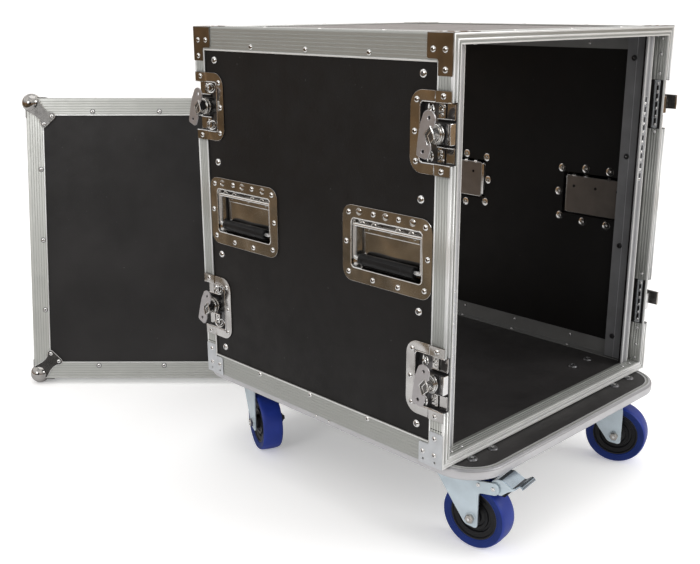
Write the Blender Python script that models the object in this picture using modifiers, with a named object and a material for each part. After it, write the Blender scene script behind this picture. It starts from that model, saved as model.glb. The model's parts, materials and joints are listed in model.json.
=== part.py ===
"""A twelve-unit 19-inch rack case on a castor board, with one of its lids taken off and stood behind it.

Metres, +Z up. The case's open front faces -Y, and the floor is at Z = 0.
"""

import math

import bmesh
import bpy
from mathutils import Matrix, Vector

# Fits
CLEARANCE = 0.0003
SUNK = 0.0010

# The 19-inch rack inside
RACK_UNITS = 12
RACK_UNIT = 0.04445
RACK_EAR_WIDTH = 0.4826
RACK_EAR_HOLE_INSET = 0.00875
HEADROOM = 0.0060
SIDE_ROOM = 0.0144

# Boards and aluminium of the body
PANEL_THICKNESS = 0.0090
BODY_DEPTH = 0.5220
FLANGE_THICKNESS = 0.0015
EDGE_FLANGE = 0.0350
FRAME_FLANGE = 0.0260
FRAME_WEB = 0.0030
FRAME_INNER_FLANGE = 0.0030

# Corner braces
BRACE_THICKNESS = 0.0012
BRACE_LENGTH = 0.0420
BRACE_HEIGHT = 0.0310
BRACE_LEG_WIDTH = 0.0240
BRACE_LEG_LENGTH = 0.0520
BRACE_INSET = 0.0010

# Rack rails and the packing behind them
RAIL_THICKNESS = 0.0025
RAIL_FACE_WIDTH = 0.0195
RAIL_WEB_DEPTH = 0.0430
RAIL_SETBACK = 0.0190
RAIL_HOLE_RADIUS = 0.0035
RAIL_HOLE_SIDES = 6
PACKING_DEPTH = 0.0280
PACKING_SETBACK = 0.0270

# Recessed sprung handles
HANDLE_FROM_FRAME = 0.0010
HANDLE_WIDTH = 0.1640
HANDLE_HEIGHT = 0.1080
HANDLE_CORNER = 0.0180
HANDLE_MOUTH_WIDTH = 0.1300
HANDLE_MOUTH_HEIGHT = 0.0700
HANDLE_MOUTH_RISE = 0.0010
HANDLE_MOUTH_CORNER = 0.0060
BAIL_RADIUS = 0.0030
BAIL_BEND = 0.0080
BAIL_DROP = 0.0480
GRIP_RADIUS = 0.0080
GRIP_END_GAP = 0.0060

# Recessed butterfly latches
LATCH_FROM_END = 0.1200
LATCH_SETBACK = 0.0240
LATCH_HEIGHT = 0.1080
LATCH_REACH = 0.0685
LATCH_EDGE_INSET = 0.0015
LATCH_CORNER = 0.0200
LATCH_MOUTH_HEIGHT = 0.0760
LATCH_MOUTH_REACH = 0.0530
LATCH_MOUTH_CORNER = 0.0060
LATCH_ARM_HEIGHT = 0.0280
LATCH_ARM_REACH = 0.0150
LATCH_ARM_PROUD = 0.0040
DRUM_RADIUS = 0.0110
DRUM_PROUD = 0.0160
WING_SPAN = 0.0600
WING_WIDTH = 0.0270
WING_LOBE_RADIUS = 0.0085
WING_THICKNESS = 0.0025
WING_HOLE_RADIUS = 0.0030
WING_BOSS_RADIUS = 0.0070
WING_BOSS_HEIGHT = 0.0030
WING_REST = {
    ("front", "left"): -8.5,
    ("rear", "left"): -18.0,
    ("front", "right"): 90.0,
    ("rear", "right"): 0.0,
}

# Pressed steel of the dishes
DISH_THICKNESS = 0.0012
HANDLE_DEPTH = 0.0128

# Castor board
BOARD_SIDE_INSET = 0.0115
BOARD_OVERHANG = 0.0470
BOARD_THICKNESS = 0.0140
BOARD_CORNER = 0.0620
TRIM_LIP = 0.0100
TRIM_LIP_THICKNESS = 0.0008
TRIM_WALL = 0.0022

# Castors
CASTOR_HEIGHT = 0.1300
CASTOR_FROM_SIDE = 0.0690
CASTOR_FROM_END = 0.0820
CASTOR_TRAIL = 0.0340
CASTOR_HEADING = {"front_left": 7.7, "front_right": 20.0, "rear_left": -22.8, "rear_right": 12.0}
BRAKED_CASTORS = ("front_left", "rear_right")
WHEEL_RADIUS = 0.0500
WHEEL_WIDTH = 0.0340
WHEEL_SIDES = 24
TYRE_THICKNESS = 0.0110
TYRE_ROUNDING = 0.0040
HUB_RECESS = 0.0060
HUB_RADIUS = 0.0125
HUB_OVERHANG = 0.0015
AXLE_RADIUS = 0.0060
BOLT_RADIUS = 0.0085
BOLT_HEAD = 0.0050
CASTOR_PLATE_LENGTH = 0.1040
CASTOR_PLATE_WIDTH = 0.0680
CASTOR_PLATE_THICKNESS = 0.0030
CASTOR_HOLE_SPACING_Y = 0.0800
CASTOR_HOLE_SPACING_X = 0.0460
CASTOR_HOLE_RADIUS = 0.0042
RACE_RADIUS = 0.0300
RACE_HEIGHT = 0.0100
FORK_STEEL = 0.0030
FORK_SIDE_GAP = 0.0010
FORK_CROWN_DISC = 0.0060
FORK_BACK_REACH = 0.0280
FORK_LEG_FRONT = 0.0120
FORK_LEG_BELOW = 0.0095
BRAKE_PIVOT_REACH = 0.0335
BRAKE_PIVOT_DROP = 0.0240
BRAKE_ARM_END = 0.0540
BRAKE_ARM_HEIGHT = 0.0150
BRAKE_BARREL_RADIUS = 0.0040
PEDAL_LENGTH = 0.0480
PEDAL_RISE = 0.0180
PEDAL_THICKNESS = 0.0025
PEDAL_LIP = 0.0090

# The lid, standing on its ball corners and its rim
LID_DEPTH = 0.0600
LID_FLANGE = 0.0350
LID_RIM_FLANGE = 0.0160
LID_AT = (-0.3537, 0.7494)
LID_HEADING = -44.5
BALL_RADIUS = 0.0190
BALL_INSET = 0.0095
BALL_LEG_WIDTH = 0.0300
BALL_LEG_LENGTH = 0.0550
BALL_LEG_WAIST = 0.6
BALL_TAB_LENGTH = 0.0240

# How finely round shapes are cut
ARC_STEPS = 4
ROUND_SIDES = 16
BOLT_SIDES = 6
WIRE_SIDES = 8

# What follows from the sizes above
PANEL_SEAT = FLANGE_THICKNESS + CLEARANCE
WALL = PANEL_SEAT + PANEL_THICKNESS
FRAME_THICKNESS = WALL + CLEARANCE + FRAME_INNER_FLANGE
RACK_HOLE_SPACING = RACK_EAR_WIDTH - 2 * RACK_EAR_HOLE_INSET
INNER_WIDTH = RACK_EAR_WIDTH + 2 * SIDE_ROOM
BODY_WIDTH = INNER_WIDTH + 2 * WALL
BODY_HEIGHT = RACK_UNITS * RACK_UNIT + 2 * HEADROOM + 2 * WALL
BOARD_BOTTOM = CASTOR_HEIGHT + CLEARANCE
BODY_BOTTOM = BOARD_BOTTOM + BOARD_THICKNESS + 2 * CLEARANCE + TRIM_LIP_THICKNESS
BODY_TOP = BODY_BOTTOM + BODY_HEIGHT
LATCH_DEPTH = WALL
HALF_WIDTH = BODY_WIDTH / 2
HALF_DEPTH = BODY_DEPTH / 2
HANDLE_Y = HALF_DEPTH - FRAME_FLANGE - HANDLE_FROM_FRAME - HANDLE_WIDTH / 2
HANDLE_Z = BODY_BOTTOM + BODY_HEIGHT / 2
BOARD_WIDTH = BODY_WIDTH - 2 * BOARD_SIDE_INSET
BOARD_DEPTH = BODY_DEPTH + 2 * BOARD_OVERHANG
CASTOR_X = BOARD_WIDTH / 2 - CASTOR_FROM_SIDE
CASTOR_Y = BOARD_DEPTH / 2 - CASTOR_FROM_END
LATCH_HEIGHTS = {"upper": BODY_TOP - LATCH_FROM_END, "lower": BODY_BOTTOM + LATCH_FROM_END}
SIDES = {"left": -1, "right": 1}
ENDS = {"front": -1, "rear": 1}

parts = bpy.data.collections.new("rack_case")
helpers = bpy.data.collections.new("cutters")


def clear_scene():
    for old in list(bpy.data.objects):
        bpy.data.objects.remove(old, do_unlink=True)
    for collection in (parts, helpers):
        bpy.context.scene.collection.children.link(collection)
    helpers.hide_render = True


def make_material(name, colour, roughness, metallic):
    material = bpy.data.materials.new(name)
    material.use_nodes = True
    shader = material.node_tree.nodes["Principled BSDF"]
    shader.inputs["Base Color"].default_value = (*colour, 1)
    shader.inputs["Roughness"].default_value = roughness
    shader.inputs["Metallic"].default_value = metallic
    return material


def make_materials():
    return {
        "laminate": make_material("black_laminate", (0.022, 0.022, 0.023), 0.55, 0),
        "aluminium": make_material("ribbed_aluminium", (0.62, 0.64, 0.62), 0.35, 1),
        "chrome": make_material("bright_chrome", (0.62, 0.60, 0.57), 0.12, 1),
        "rail": make_material("rail_aluminium", (0.30, 0.31, 0.32), 0.4, 1),
        "rubber": make_material("black_rubber", (0.02, 0.02, 0.021), 0.6, 0),
        "zinc": make_material("zinc_plate", (0.60, 0.67, 0.72), 0.3, 1),
        "tyre": make_material("blue_tyre", (0.02, 0.05, 0.28), 0.5, 0),
    }


# Building blocks


def place(obj, collection, material=None):
    collection.objects.link(obj)
    if collection is helpers:
        obj.hide_render = True
        obj.display_type = "WIRE"
    if material is not None:
        obj.data.materials.append(material)
    return obj


def from_bmesh(name, mesh_builder, collection, material=None):
    bm = bmesh.new()
    mesh_builder(bm)
    mesh = bpy.data.meshes.new(name)
    bm.to_mesh(mesh)
    bm.free()
    return place(bpy.data.objects.new(name, mesh), collection, material)


def box(name, low, high, collection, material=None):
    """A box whose corners are exactly at the given coordinates."""

    def build(bm):
        bmesh.ops.create_cube(bm, size=1)
        for vertex in bm.verts:
            vertex.co = [high[i] if vertex.co[i] > 0 else low[i] for i in range(3)]

    return from_bmesh(name, build, collection, material)


def cylinder(name, start, end, radius, sides, collection, material=None):
    run = Vector(end) - Vector(start)
    matrix = Matrix.Translation(Vector(start) + run / 2) @ run.to_track_quat("Z", "Y").to_matrix().to_4x4()

    def build(bm):
        bmesh.ops.create_cone(
            bm,
            cap_ends=True,
            segments=sides,
            radius1=radius,
            radius2=radius,
            depth=run.length,
            matrix=matrix,
        )

    return from_bmesh(name, build, collection, material)


def made_mesh(obj):
    """Turns a curve or a piece with modifiers into a plain mesh, with its caps welded."""
    graph = bpy.context.evaluated_depsgraph_get()
    mesh = bpy.data.meshes.new_from_object(obj.evaluated_get(graph))
    bm = bmesh.new()
    bm.from_mesh(mesh)
    bmesh.ops.remove_doubles(bm, verts=bm.verts, dist=1e-6)
    bmesh.ops.recalc_face_normals(bm, faces=bm.faces)
    bm.to_mesh(mesh)
    bm.free()
    made = bpy.data.objects.new(obj.name, mesh)
    made.matrix_world = obj.matrix_world
    for collection in obj.users_collection:
        place(made, collection)
    name = obj.name
    bpy.data.objects.remove(obj, do_unlink=True)
    made.name = name
    return made


def flat_outline(name, points, thickness, axes, at, collection, material=None):
    """A plate: the outline's two coordinates run along axes[0] and axes[1], and at is its mid-plane."""
    curve = bpy.data.curves.new(name, "CURVE")
    curve.dimensions = "2D"
    curve.fill_mode = "BOTH"
    curve.extrude = thickness / 2
    spline = curve.splines.new("POLY")
    spline.points.add(len(points) - 1)
    for point, (u, v) in zip(spline.points, points):
        point.co = (u, v, 0, 1)
    spline.use_cyclic_u = True
    obj = place(bpy.data.objects.new(name, curve), collection, material)
    first, second = (Vector(axis) for axis in axes)
    turn = Matrix((first, second, first.cross(second))).transposed()
    obj.matrix_world = Matrix.Translation(at) @ turn.to_4x4()
    bpy.context.view_layer.update()
    made = made_mesh(obj)
    made.data.transform(made.matrix_world)
    made.matrix_world = Matrix.Identity(4)
    return made


def arc(centre, radius, start, end, steps=ARC_STEPS):
    """Points on an arc, its angles in degrees."""
    turns = [math.radians(start + (end - start) * i / steps) for i in range(steps + 1)]
    return [(centre[0] + radius * math.cos(t), centre[1] + radius * math.sin(t)) for t in turns]


def rounded_rectangle(low, high, radius):
    (u0, v0), (u1, v1) = low, high
    return (
        arc((u1 - radius, v1 - radius), radius, 0, 90)
        + arc((u0 + radius, v1 - radius), radius, 90, 180)
        + arc((u0 + radius, v0 + radius), radius, 180, 270)
        + arc((u1 - radius, v0 + radius), radius, 270, 360)
    )


def boolean(body, tool, operation):
    modifier = body.modifiers.new(tool.name, "BOOLEAN")
    modifier.operation = operation
    modifier.object = tool
    modifier.solver = "EXACT"


def cut(body, *tools):
    for tool in tools:
        boolean(body, tool, "DIFFERENCE")


def join(body, *tools):
    for tool in tools:
        boolean(body, tool, "UNION")


def finished(body):
    """Applies a master's Booleans, so that its copies can share one mesh."""
    bpy.context.view_layer.update()
    body = made_mesh(body)
    body.data.shade_smooth()
    body.data.set_sharp_from_angle(angle=math.radians(35))
    return body


def copy_of(master, name, location, turn=None):
    obj = place(bpy.data.objects.new(name, master.data), parts)
    obj.matrix_world = Matrix.Translation(location) @ (turn or Matrix.Identity(4))
    return obj


def parent_to(child, parent):
    bpy.context.view_layer.update()
    child.parent = parent
    child.matrix_parent_inverse = parent.matrix_world.inverted()


def empty(name, location, heading=0.0):
    obj = place(bpy.data.objects.new(name, None), parts)
    obj.matrix_world = Matrix.Translation(location) @ Matrix.Rotation(math.radians(heading), 4, "Z")
    bpy.context.view_layer.update()
    return obj


# Panels, edges and end frames


def make_panels(materials):
    inside_frame = HALF_DEPTH - FRAME_WEB - CLEARANCE
    inner = HALF_WIDTH - WALL
    outer = HALF_WIDTH - PANEL_SEAT
    low, high = BODY_BOTTOM + PANEL_SEAT, BODY_TOP - PANEL_SEAT
    made = {}
    for side, sign in SIDES.items():
        xs = sorted((sign * inner, sign * outer))
        made[side] = box(
            f"{side}_panel",
            (xs[0], -inside_frame, low),
            (xs[1], inside_frame, high),
            parts,
            materials["laminate"],
        )
    reach = inner - CLEARANCE
    for name, bottom in (("bottom", low), ("top", high - PANEL_THICKNESS)):
        made[name] = box(
            f"{name}_panel",
            (-reach, -inside_frame, bottom),
            (reach, inside_frame, bottom + PANEL_THICKNESS),
            parts,
            materials["laminate"],
        )
    return made


def make_edges(materials):
    """Aluminium angles along the four long edges, between the end frames."""
    reach = HALF_DEPTH - FRAME_FLANGE - CLEARANCE
    steel = FLANGE_THICKNESS
    made = []
    for side, sign in SIDES.items():
        for level, corner_z, down in (("upper", BODY_TOP, -1), ("lower", BODY_BOTTOM, 1)):
            corner = sign * HALF_WIDTH
            outline = [
                (corner, corner_z),
                (corner - sign * EDGE_FLANGE, corner_z),
                (corner - sign * EDGE_FLANGE, corner_z + down * steel),
                (corner - sign * steel, corner_z + down * steel),
                (corner - sign * steel, corner_z + down * EDGE_FLANGE),
                (corner, corner_z + down * EDGE_FLANGE),
            ]
            made.append(
                flat_outline(
                    f"{level}_{side}_edge",
                    outline,
                    2 * reach,
                    ((1, 0, 0), (0, 0, 1)),
                    (0, 0, 0),
                    parts,
                    materials["aluminium"],
                )
            )
    return made


def ring_box(name, half_width, low, high, ys, collection, material=None):
    return box(name, (-half_width, ys[0], low), (half_width, ys[1], high), collection, material)


def add_braces(frame, end, sign):
    """Pressed plates over each corner: on the case's side, and on its top."""
    near = sign * (HALF_DEPTH - BRACE_INSET)
    over_frame = sign * (HALF_DEPTH - BRACE_LEG_WIDTH)
    far = sign * (HALF_DEPTH - BRACE_LENGTH)
    lift = CLEARANCE + BRACE_THICKNESS
    for side, out in SIDES.items():
        outside = out * (HALF_WIDTH + lift)
        seat = out * (HALF_WIDTH + CLEARANCE)
        sunk = out * (HALF_WIDTH - SUNK)
        top_outside = BODY_TOP + lift
        for level, corner_z, down in (("upper", BODY_TOP, -1), ("lower", BODY_BOTTOM, 1)):
            leg_end = corner_z + down * BRACE_LEG_LENGTH
            plate_end = corner_z + down * BRACE_HEIGHT
            start = top_outside if level == "upper" else corner_z
            name = f"{end}_{level}_{side}_brace"
            pieces = [
                (name + "_leg", (sunk, near, start), (outside, over_frame, leg_end)),
                (name + "_plate", (seat, near, start), (outside, far, plate_end)),
            ]
            if level == "upper":
                inward = out * (HALF_WIDTH - BRACE_LEG_LENGTH)
                pieces += [
                    (name + "_top_leg", (outside, near, BODY_TOP - SUNK), (inward, over_frame, top_outside)),
                    (
                        name + "_top_plate",
                        (outside, near, BODY_TOP + CLEARANCE),
                        (out * (HALF_WIDTH - BRACE_HEIGHT), far, top_outside),
                    ),
                ]
            for piece, first, second in pieces:
                low = [min(a, b) for a, b in zip(first, second)]
                high = [max(a, b) for a, b in zip(first, second)]
                join(frame, box(piece, low, high, helpers))


def make_frames(materials, latch_slots):
    """The hybrid extrusion round each open end, with its corner braces riveted on."""
    made = []
    inset = FRAME_THICKNESS
    slot_outside = FLANGE_THICKNESS
    slot_inside = WALL + CLEARANCE
    for end, sign in ENDS.items():
        outer_y = sign * HALF_DEPTH
        inner_y = sign * (HALF_DEPTH - FRAME_FLANGE)
        ys = sorted((outer_y, inner_y))
        frame = ring_box(
            f"{end}_frame", HALF_WIDTH, BODY_BOTTOM, BODY_TOP, ys, parts, materials["aluminium"]
        )
        slot_ys = sorted((sign * (HALF_DEPTH - FRAME_WEB), sign * (HALF_DEPTH - 2 * FRAME_FLANGE)))
        slot = ring_box(
            f"{end}_slot",
            HALF_WIDTH - slot_outside,
            BODY_BOTTOM + slot_outside,
            BODY_TOP - slot_outside,
            slot_ys,
            helpers,
        )
        core = ring_box(
            f"{end}_slot_core",
            HALF_WIDTH - slot_inside,
            BODY_BOTTOM + slot_inside,
            BODY_TOP - slot_inside,
            (ys[0] - FRAME_FLANGE, ys[1] + FRAME_FLANGE),
            helpers,
        )
        cut(slot, core)
        opening = ring_box(
            f"{end}_opening",
            HALF_WIDTH - inset,
            BODY_BOTTOM + inset,
            BODY_TOP - inset,
            (ys[0] - FRAME_FLANGE, ys[1] + FRAME_FLANGE),
            helpers,
        )
        cut(frame, opening, slot)
        cut(frame, *[slot for slot_end, slot in latch_slots if slot_end == end])
        add_braces(frame, end, sign)
        made.append(finished(frame))
    return made


# Rack rails


def make_rails(materials):
    """An angle of aluminium with the rack's screw holes, on a packing strip against the side wall."""
    bottom = BODY_BOTTOM + FRAME_THICKNESS + CLEARANCE
    top = BODY_TOP - FRAME_THICKNESS - CLEARANCE
    wall = HALF_WIDTH - WALL - CLEARANCE
    hole_x = RACK_HOLE_SPACING / 2
    face_inner = hole_x - RAIL_FACE_WIDTH / 2
    face_outer = face_inner + RAIL_FACE_WIDTH
    web_inner = face_outer - RAIL_THICKNESS
    face = -(HALF_DEPTH - RAIL_SETBACK)
    packing_start = -(HALF_DEPTH - PACKING_SETBACK)
    rail = box(
        "rail_master",
        (face_inner, face, bottom),
        (face_outer, face + RAIL_WEB_DEPTH, top),
        helpers,
        materials["rail"],
    )
    cut(
        rail,
        box(
            "rail_hollow",
            (face_inner - SUNK, face + RAIL_THICKNESS, bottom - SUNK),
            (web_inner, face + RAIL_WEB_DEPTH + SUNK, top + SUNK),
            helpers,
        ),
    )
    join(
        rail,
        box(
            "packing",
            (web_inner + RAIL_THICKNESS / 2, packing_start, bottom),
            (wall, packing_start + PACKING_DEPTH, top),
            helpers,
        ),
    )
    # The handles' pans stand out inside the wall, so the packing is let in round them.
    pan_back = HALF_WIDTH - PANEL_SEAT + CLEARANCE + FLANGE_THICKNESS - HANDLE_DEPTH - DISH_THICKNESS
    margin = DISH_THICKNESS + CLEARANCE
    pan_reach = HANDLE_Y + HANDLE_MOUTH_WIDTH / 2 + margin
    pan_half = HANDLE_MOUTH_HEIGHT / 2 + HANDLE_MOUTH_RISE + margin
    cut(
        rail,
        box(
            "handle_room",
            (pan_back - CLEARANCE, -pan_reach, HANDLE_Z - pan_half),
            (wall + SUNK, packing_start + PACKING_DEPTH + SUNK, HANDLE_Z + pan_half),
            helpers,
        ),
    )
    # Each unit holds three screw holes, 6.35 mm, 22.225 mm and 38.1 mm above its lower edge.
    rows = (RACK_UNIT / 7, RACK_UNIT / 2, RACK_UNIT * 6 / 7)
    first_unit = (bottom + top - RACK_UNITS * RACK_UNIT) / 2
    holes = bmesh.new()
    for unit in range(RACK_UNITS):
        for row in rows:
            at = Vector((hole_x, face, first_unit + unit * RACK_UNIT + row))
            bmesh.ops.create_cone(
                holes,
                cap_ends=True,
                segments=RAIL_HOLE_SIDES,
                radius1=RAIL_HOLE_RADIUS,
                radius2=RAIL_HOLE_RADIUS,
                depth=4 * RAIL_THICKNESS,
                matrix=Matrix.Translation(at) @ Matrix.Rotation(math.radians(90), 4, "X"),
            )
    mesh = bpy.data.meshes.new("rack_holes")
    holes.to_mesh(mesh)
    holes.free()
    cut(rail, place(bpy.data.objects.new("rack_holes", mesh), helpers))
    rail = finished(rail)
    rail.hide_render = True
    about = Matrix.Translation((0, 0, (bottom + top) / 2))
    back = about.inverted()
    turns = {
        ("front", "right"): Matrix.Identity(4),
        ("rear", "left"): Matrix.Rotation(math.pi, 4, "Z"),
        ("rear", "right"): about @ Matrix.Rotation(math.pi, 4, "X") @ back,
        ("front", "left"): about @ Matrix.Rotation(math.pi, 4, "Y") @ back,
    }
    return [
        copy_of(rail, f"{end}_{side}_rack_rail", (0, 0, 0), turn)
        for (end, side), turn in turns.items()
    ]


# Handles


def handle_master(materials):
    """A pressed dish, in its own frame: X out of the case's side, the panel's face at X = 0."""
    seat = CLEARANCE
    half_width, half_height = HANDLE_WIDTH / 2, HANDLE_HEIGHT / 2
    dish = flat_outline(
        "handle_dish_master",
        rounded_rectangle((-half_width, -half_height), (half_width, half_height), HANDLE_CORNER),
        FLANGE_THICKNESS,
        ((0, 1, 0), (0, 0, 1)),
        (seat + FLANGE_THICKNESS / 2, 0, 0),
        helpers,
        materials["chrome"],
    )
    mouth_low = (-HANDLE_MOUTH_WIDTH / 2, HANDLE_MOUTH_RISE - HANDLE_MOUTH_HEIGHT / 2)
    mouth_high = (HANDLE_MOUTH_WIDTH / 2, HANDLE_MOUTH_RISE + HANDLE_MOUTH_HEIGHT / 2)
    wall = DISH_THICKNESS
    floor = seat + FLANGE_THICKNESS - HANDLE_DEPTH
    outer = flat_outline(
        "handle_pan_outside",
        rounded_rectangle(
            (mouth_low[0] - wall, mouth_low[1] - wall),
            (mouth_high[0] + wall, mouth_high[1] + wall),
            HANDLE_MOUTH_CORNER + wall,
        ),
        HANDLE_DEPTH + wall - FLANGE_THICKNESS / 2,
        ((0, 1, 0), (0, 0, 1)),
        (seat + FLANGE_THICKNESS / 2 - (HANDLE_DEPTH + wall - FLANGE_THICKNESS / 2) / 2, 0, 0),
        helpers,
    )
    inner = flat_outline(
        "handle_pan_inside",
        rounded_rectangle(mouth_low, mouth_high, HANDLE_MOUTH_CORNER),
        2 * HANDLE_DEPTH,
        ((0, 1, 0), (0, 0, 1)),
        (floor + HANDLE_DEPTH, 0, 0),
        helpers,
    )
    join(dish, outer)
    cut(dish, inner)
    return finished(dish), floor, mouth_high


def bail_master(materials):
    """The sprung wire bail on its pivot rod: its origin is on the pivot."""
    half = HANDLE_MOUTH_WIDTH / 2 - CLEARANCE
    arm = half - BAIL_RADIUS
    path = [(0, -half, 0), (0, half, 0)]
    rod = cylinder("bail_master", *path, BAIL_RADIUS, WIRE_SIDES, helpers, materials["chrome"])
    arm_y = arm - BAIL_BEND
    hang = bpy.data.curves.new("bail_arms", "CURVE")
    hang.dimensions = "3D"
    hang.bevel_depth = BAIL_RADIUS
    hang.bevel_resolution = WIRE_SIDES // 2 - 3
    hang.use_fill_caps = True
    bends = arc((arm_y, -BAIL_DROP + BAIL_BEND), BAIL_BEND, 0, -90)
    right = [(arm, 0.0)] + bends
    points = right + [(-y, z) for y, z in reversed(right)]
    spline = hang.splines.new("POLY")
    spline.points.add(len(points) - 1)
    for point, (y, z) in zip(spline.points, points):
        point.co = (0, y, z, 1)
    arms = place(bpy.data.objects.new("bail_arms", hang), helpers)
    bpy.context.view_layer.update()
    join(rod, made_mesh(arms))
    return finished(rod), arm_y - GRIP_END_GAP


def grip_master(materials, half):
    """The rubber grip on the bail, with its origin on the bail's pivot."""
    grip = cylinder(
        "grip_master",
        (0, -half, -BAIL_DROP),
        (0, half, -BAIL_DROP),
        GRIP_RADIUS,
        ROUND_SIDES,
        helpers,
        materials["rubber"],
    )
    bore = BAIL_RADIUS + CLEARANCE
    ends = half + GRIP_END_GAP / 2
    cut(
        grip,
        cylinder(
            "grip_bore", (0, -ends, -BAIL_DROP), (0, ends, -BAIL_DROP), bore, WIRE_SIDES, helpers
        ),
    )
    return finished(grip)


def make_handles(materials, panels):
    dish, floor, mouth_high = handle_master(materials)
    pivot_drop = HANDLE_MOUTH_CORNER + BAIL_RADIUS + CLEARANCE
    pivot = Vector((floor + GRIP_RADIUS + 2 * CLEARANCE, 0, mouth_high[1] - pivot_drop))
    bail, grip_half = bail_master(materials)
    grip = grip_master(materials, grip_half)
    panel_face = HALF_WIDTH - PANEL_SEAT
    hole = Vector((0, HANDLE_MOUTH_WIDTH / 2, HANDLE_MOUTH_HEIGHT / 2))
    margin = DISH_THICKNESS + CLEARANCE
    made = []
    for side, sign in SIDES.items():
        turn = Matrix.Identity(4) if sign > 0 else Matrix.Rotation(math.pi, 4, "Z")
        for end, along in ENDS.items():
            at = Vector((sign * panel_face, along * HANDLE_Y, HANDLE_Z))
            made.append(copy_of(dish, f"{end}_{side}_handle_dish", at, turn))
            made.append(copy_of(bail, f"{end}_{side}_handle_bail", at + turn @ pivot, turn))
            made.append(copy_of(grip, f"{end}_{side}_handle_grip", at + turn @ pivot, turn))
            cutter = box(
                f"{end}_{side}_handle_hole",
                (at.x - WALL, at.y - hole.y - margin, at.z + HANDLE_MOUTH_RISE - hole.z - margin),
                (at.x + WALL, at.y + hole.y + margin, at.z + HANDLE_MOUTH_RISE + hole.z + margin),
                helpers,
            )
            cut(panels[side], cutter)
    return made


# Latches


def latch_master(materials):
    """A dish let into the case's side at its open end, with the latch's arm and drum.

    In its own frame X points out of the side and the case's end is at -Y. The origin is at the
    drum's axis, on the face of the end frame's flange.
    """
    seat = CLEARANCE
    edge = -LATCH_SETBACK
    inner = edge + LATCH_REACH
    half = LATCH_HEIGHT / 2
    corner = LATCH_CORNER
    outline = (
        [(edge + LATCH_EDGE_INSET, -half)]
        + arc((inner - corner, -half + corner), corner, -90, 0)
        + arc((inner - corner, half - corner), corner, 0, 90)
        + [(edge + LATCH_EDGE_INSET, half)]
    )
    axes = ((0, 1, 0), (0, 0, 1))
    dish = flat_outline(
        "latch_dish_master",
        outline,
        DISH_THICKNESS,
        axes,
        (seat + DISH_THICKNESS / 2, 0, 0),
        helpers,
        materials["chrome"],
    )
    # Past the end frame's flange the plate goes down to the panel.
    over_panel = edge + FRAME_FLANGE + CLEARANCE
    step = FLANGE_THICKNESS
    join(
        dish,
        flat_outline(
            "latch_step",
            [(over_panel, -half)] + outline[1:-1] + [(over_panel, half)],
            step + DISH_THICKNESS / 2,
            axes,
            (seat + DISH_THICKNESS / 2 - (step + DISH_THICKNESS / 2) / 2, 0, 0),
            helpers,
        ),
    )
    mouth_inner = edge + LATCH_MOUTH_REACH
    mouth_half = LATCH_MOUTH_HEIGHT / 2
    wall = DISH_THICKNESS
    floor = seat + DISH_THICKNESS - LATCH_DEPTH
    join(
        dish,
        box(
            "latch_pan_outside",
            (floor - wall, edge + LATCH_EDGE_INSET, -mouth_half - wall),
            (seat + DISH_THICKNESS / 2, mouth_inner + wall, mouth_half + wall),
            helpers,
        ),
    )
    cut(
        dish,
        box(
            "latch_pan_inside",
            (floor, edge - FRAME_FLANGE, -mouth_half),
            (LATCH_DEPTH, mouth_inner, mouth_half),
            helpers,
        ),
    )
    arm = LATCH_ARM_REACH
    join(
        dish,
        box(
            "latch_arm",
            (floor - wall / 2, -arm, -LATCH_ARM_HEIGHT / 2),
            (seat + LATCH_ARM_PROUD, arm, LATCH_ARM_HEIGHT / 2),
            helpers,
        ),
        cylinder(
            "latch_drum", (floor - wall / 2, 0, 0), (DRUM_PROUD, 0, 0), DRUM_RADIUS, ROUND_SIDES, helpers
        ),
    )
    return finished(dish)


def wing_master(materials):
    """The butterfly wing that turns the latch's cam: its origin is on the drum's axis."""
    reach = WING_SPAN / 2 - WING_LOBE_RADIUS
    waist = WING_WIDTH / 2
    lobe = WING_LOBE_RADIUS
    outline = (
        arc((0, reach), lobe, 20, 160)
        + arc((0, 0), waist, 150, 210, 2)
        + arc((0, -reach), lobe, 200, 340)
        + arc((0, 0), waist, 330, 390, 2)
    )
    back = DRUM_PROUD + CLEARANCE
    wing = flat_outline(
        "latch_wing_master",
        outline,
        WING_THICKNESS,
        ((0, 1, 0), (0, 0, 1)),
        (back + WING_THICKNESS / 2, 0, 0),
        helpers,
        materials["chrome"],
    )
    for sign in (-1, 1):
        cut(
            wing,
            cylinder(
                f"wing_hole_{sign}",
                (back - WING_THICKNESS, 0, sign * reach),
                (back + 2 * WING_THICKNESS, 0, sign * reach),
                WING_HOLE_RADIUS,
                ROUND_SIDES // 2,
                helpers,
            ),
        )
    join(
        wing,
        cylinder(
            "wing_boss",
            (back + WING_THICKNESS / 2, 0, 0),
            (back + WING_THICKNESS + WING_BOSS_HEIGHT, 0, 0),
            WING_BOSS_RADIUS,
            ROUND_SIDES,
            helpers,
        ),
    )
    return finished(wing)


def latch_places():
    """Each latch's name, end, side, place and the turn that takes the master there."""
    turns = {
        ("front", "right"): Matrix.Identity(4),
        ("rear", "left"): Matrix.Rotation(math.pi, 4, "Z"),
        ("rear", "right"): Matrix.Rotation(math.pi, 4, "X"),
        ("front", "left"): Matrix.Rotation(math.pi, 4, "Y"),
    }
    for (end, side), turn in turns.items():
        for level, height in LATCH_HEIGHTS.items():
            at = Vector((SIDES[side] * HALF_WIDTH, ENDS[end] * (HALF_DEPTH - LATCH_SETBACK), height))
            yield f"{end}_{level}_{side}", end, side, at, turn


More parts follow.
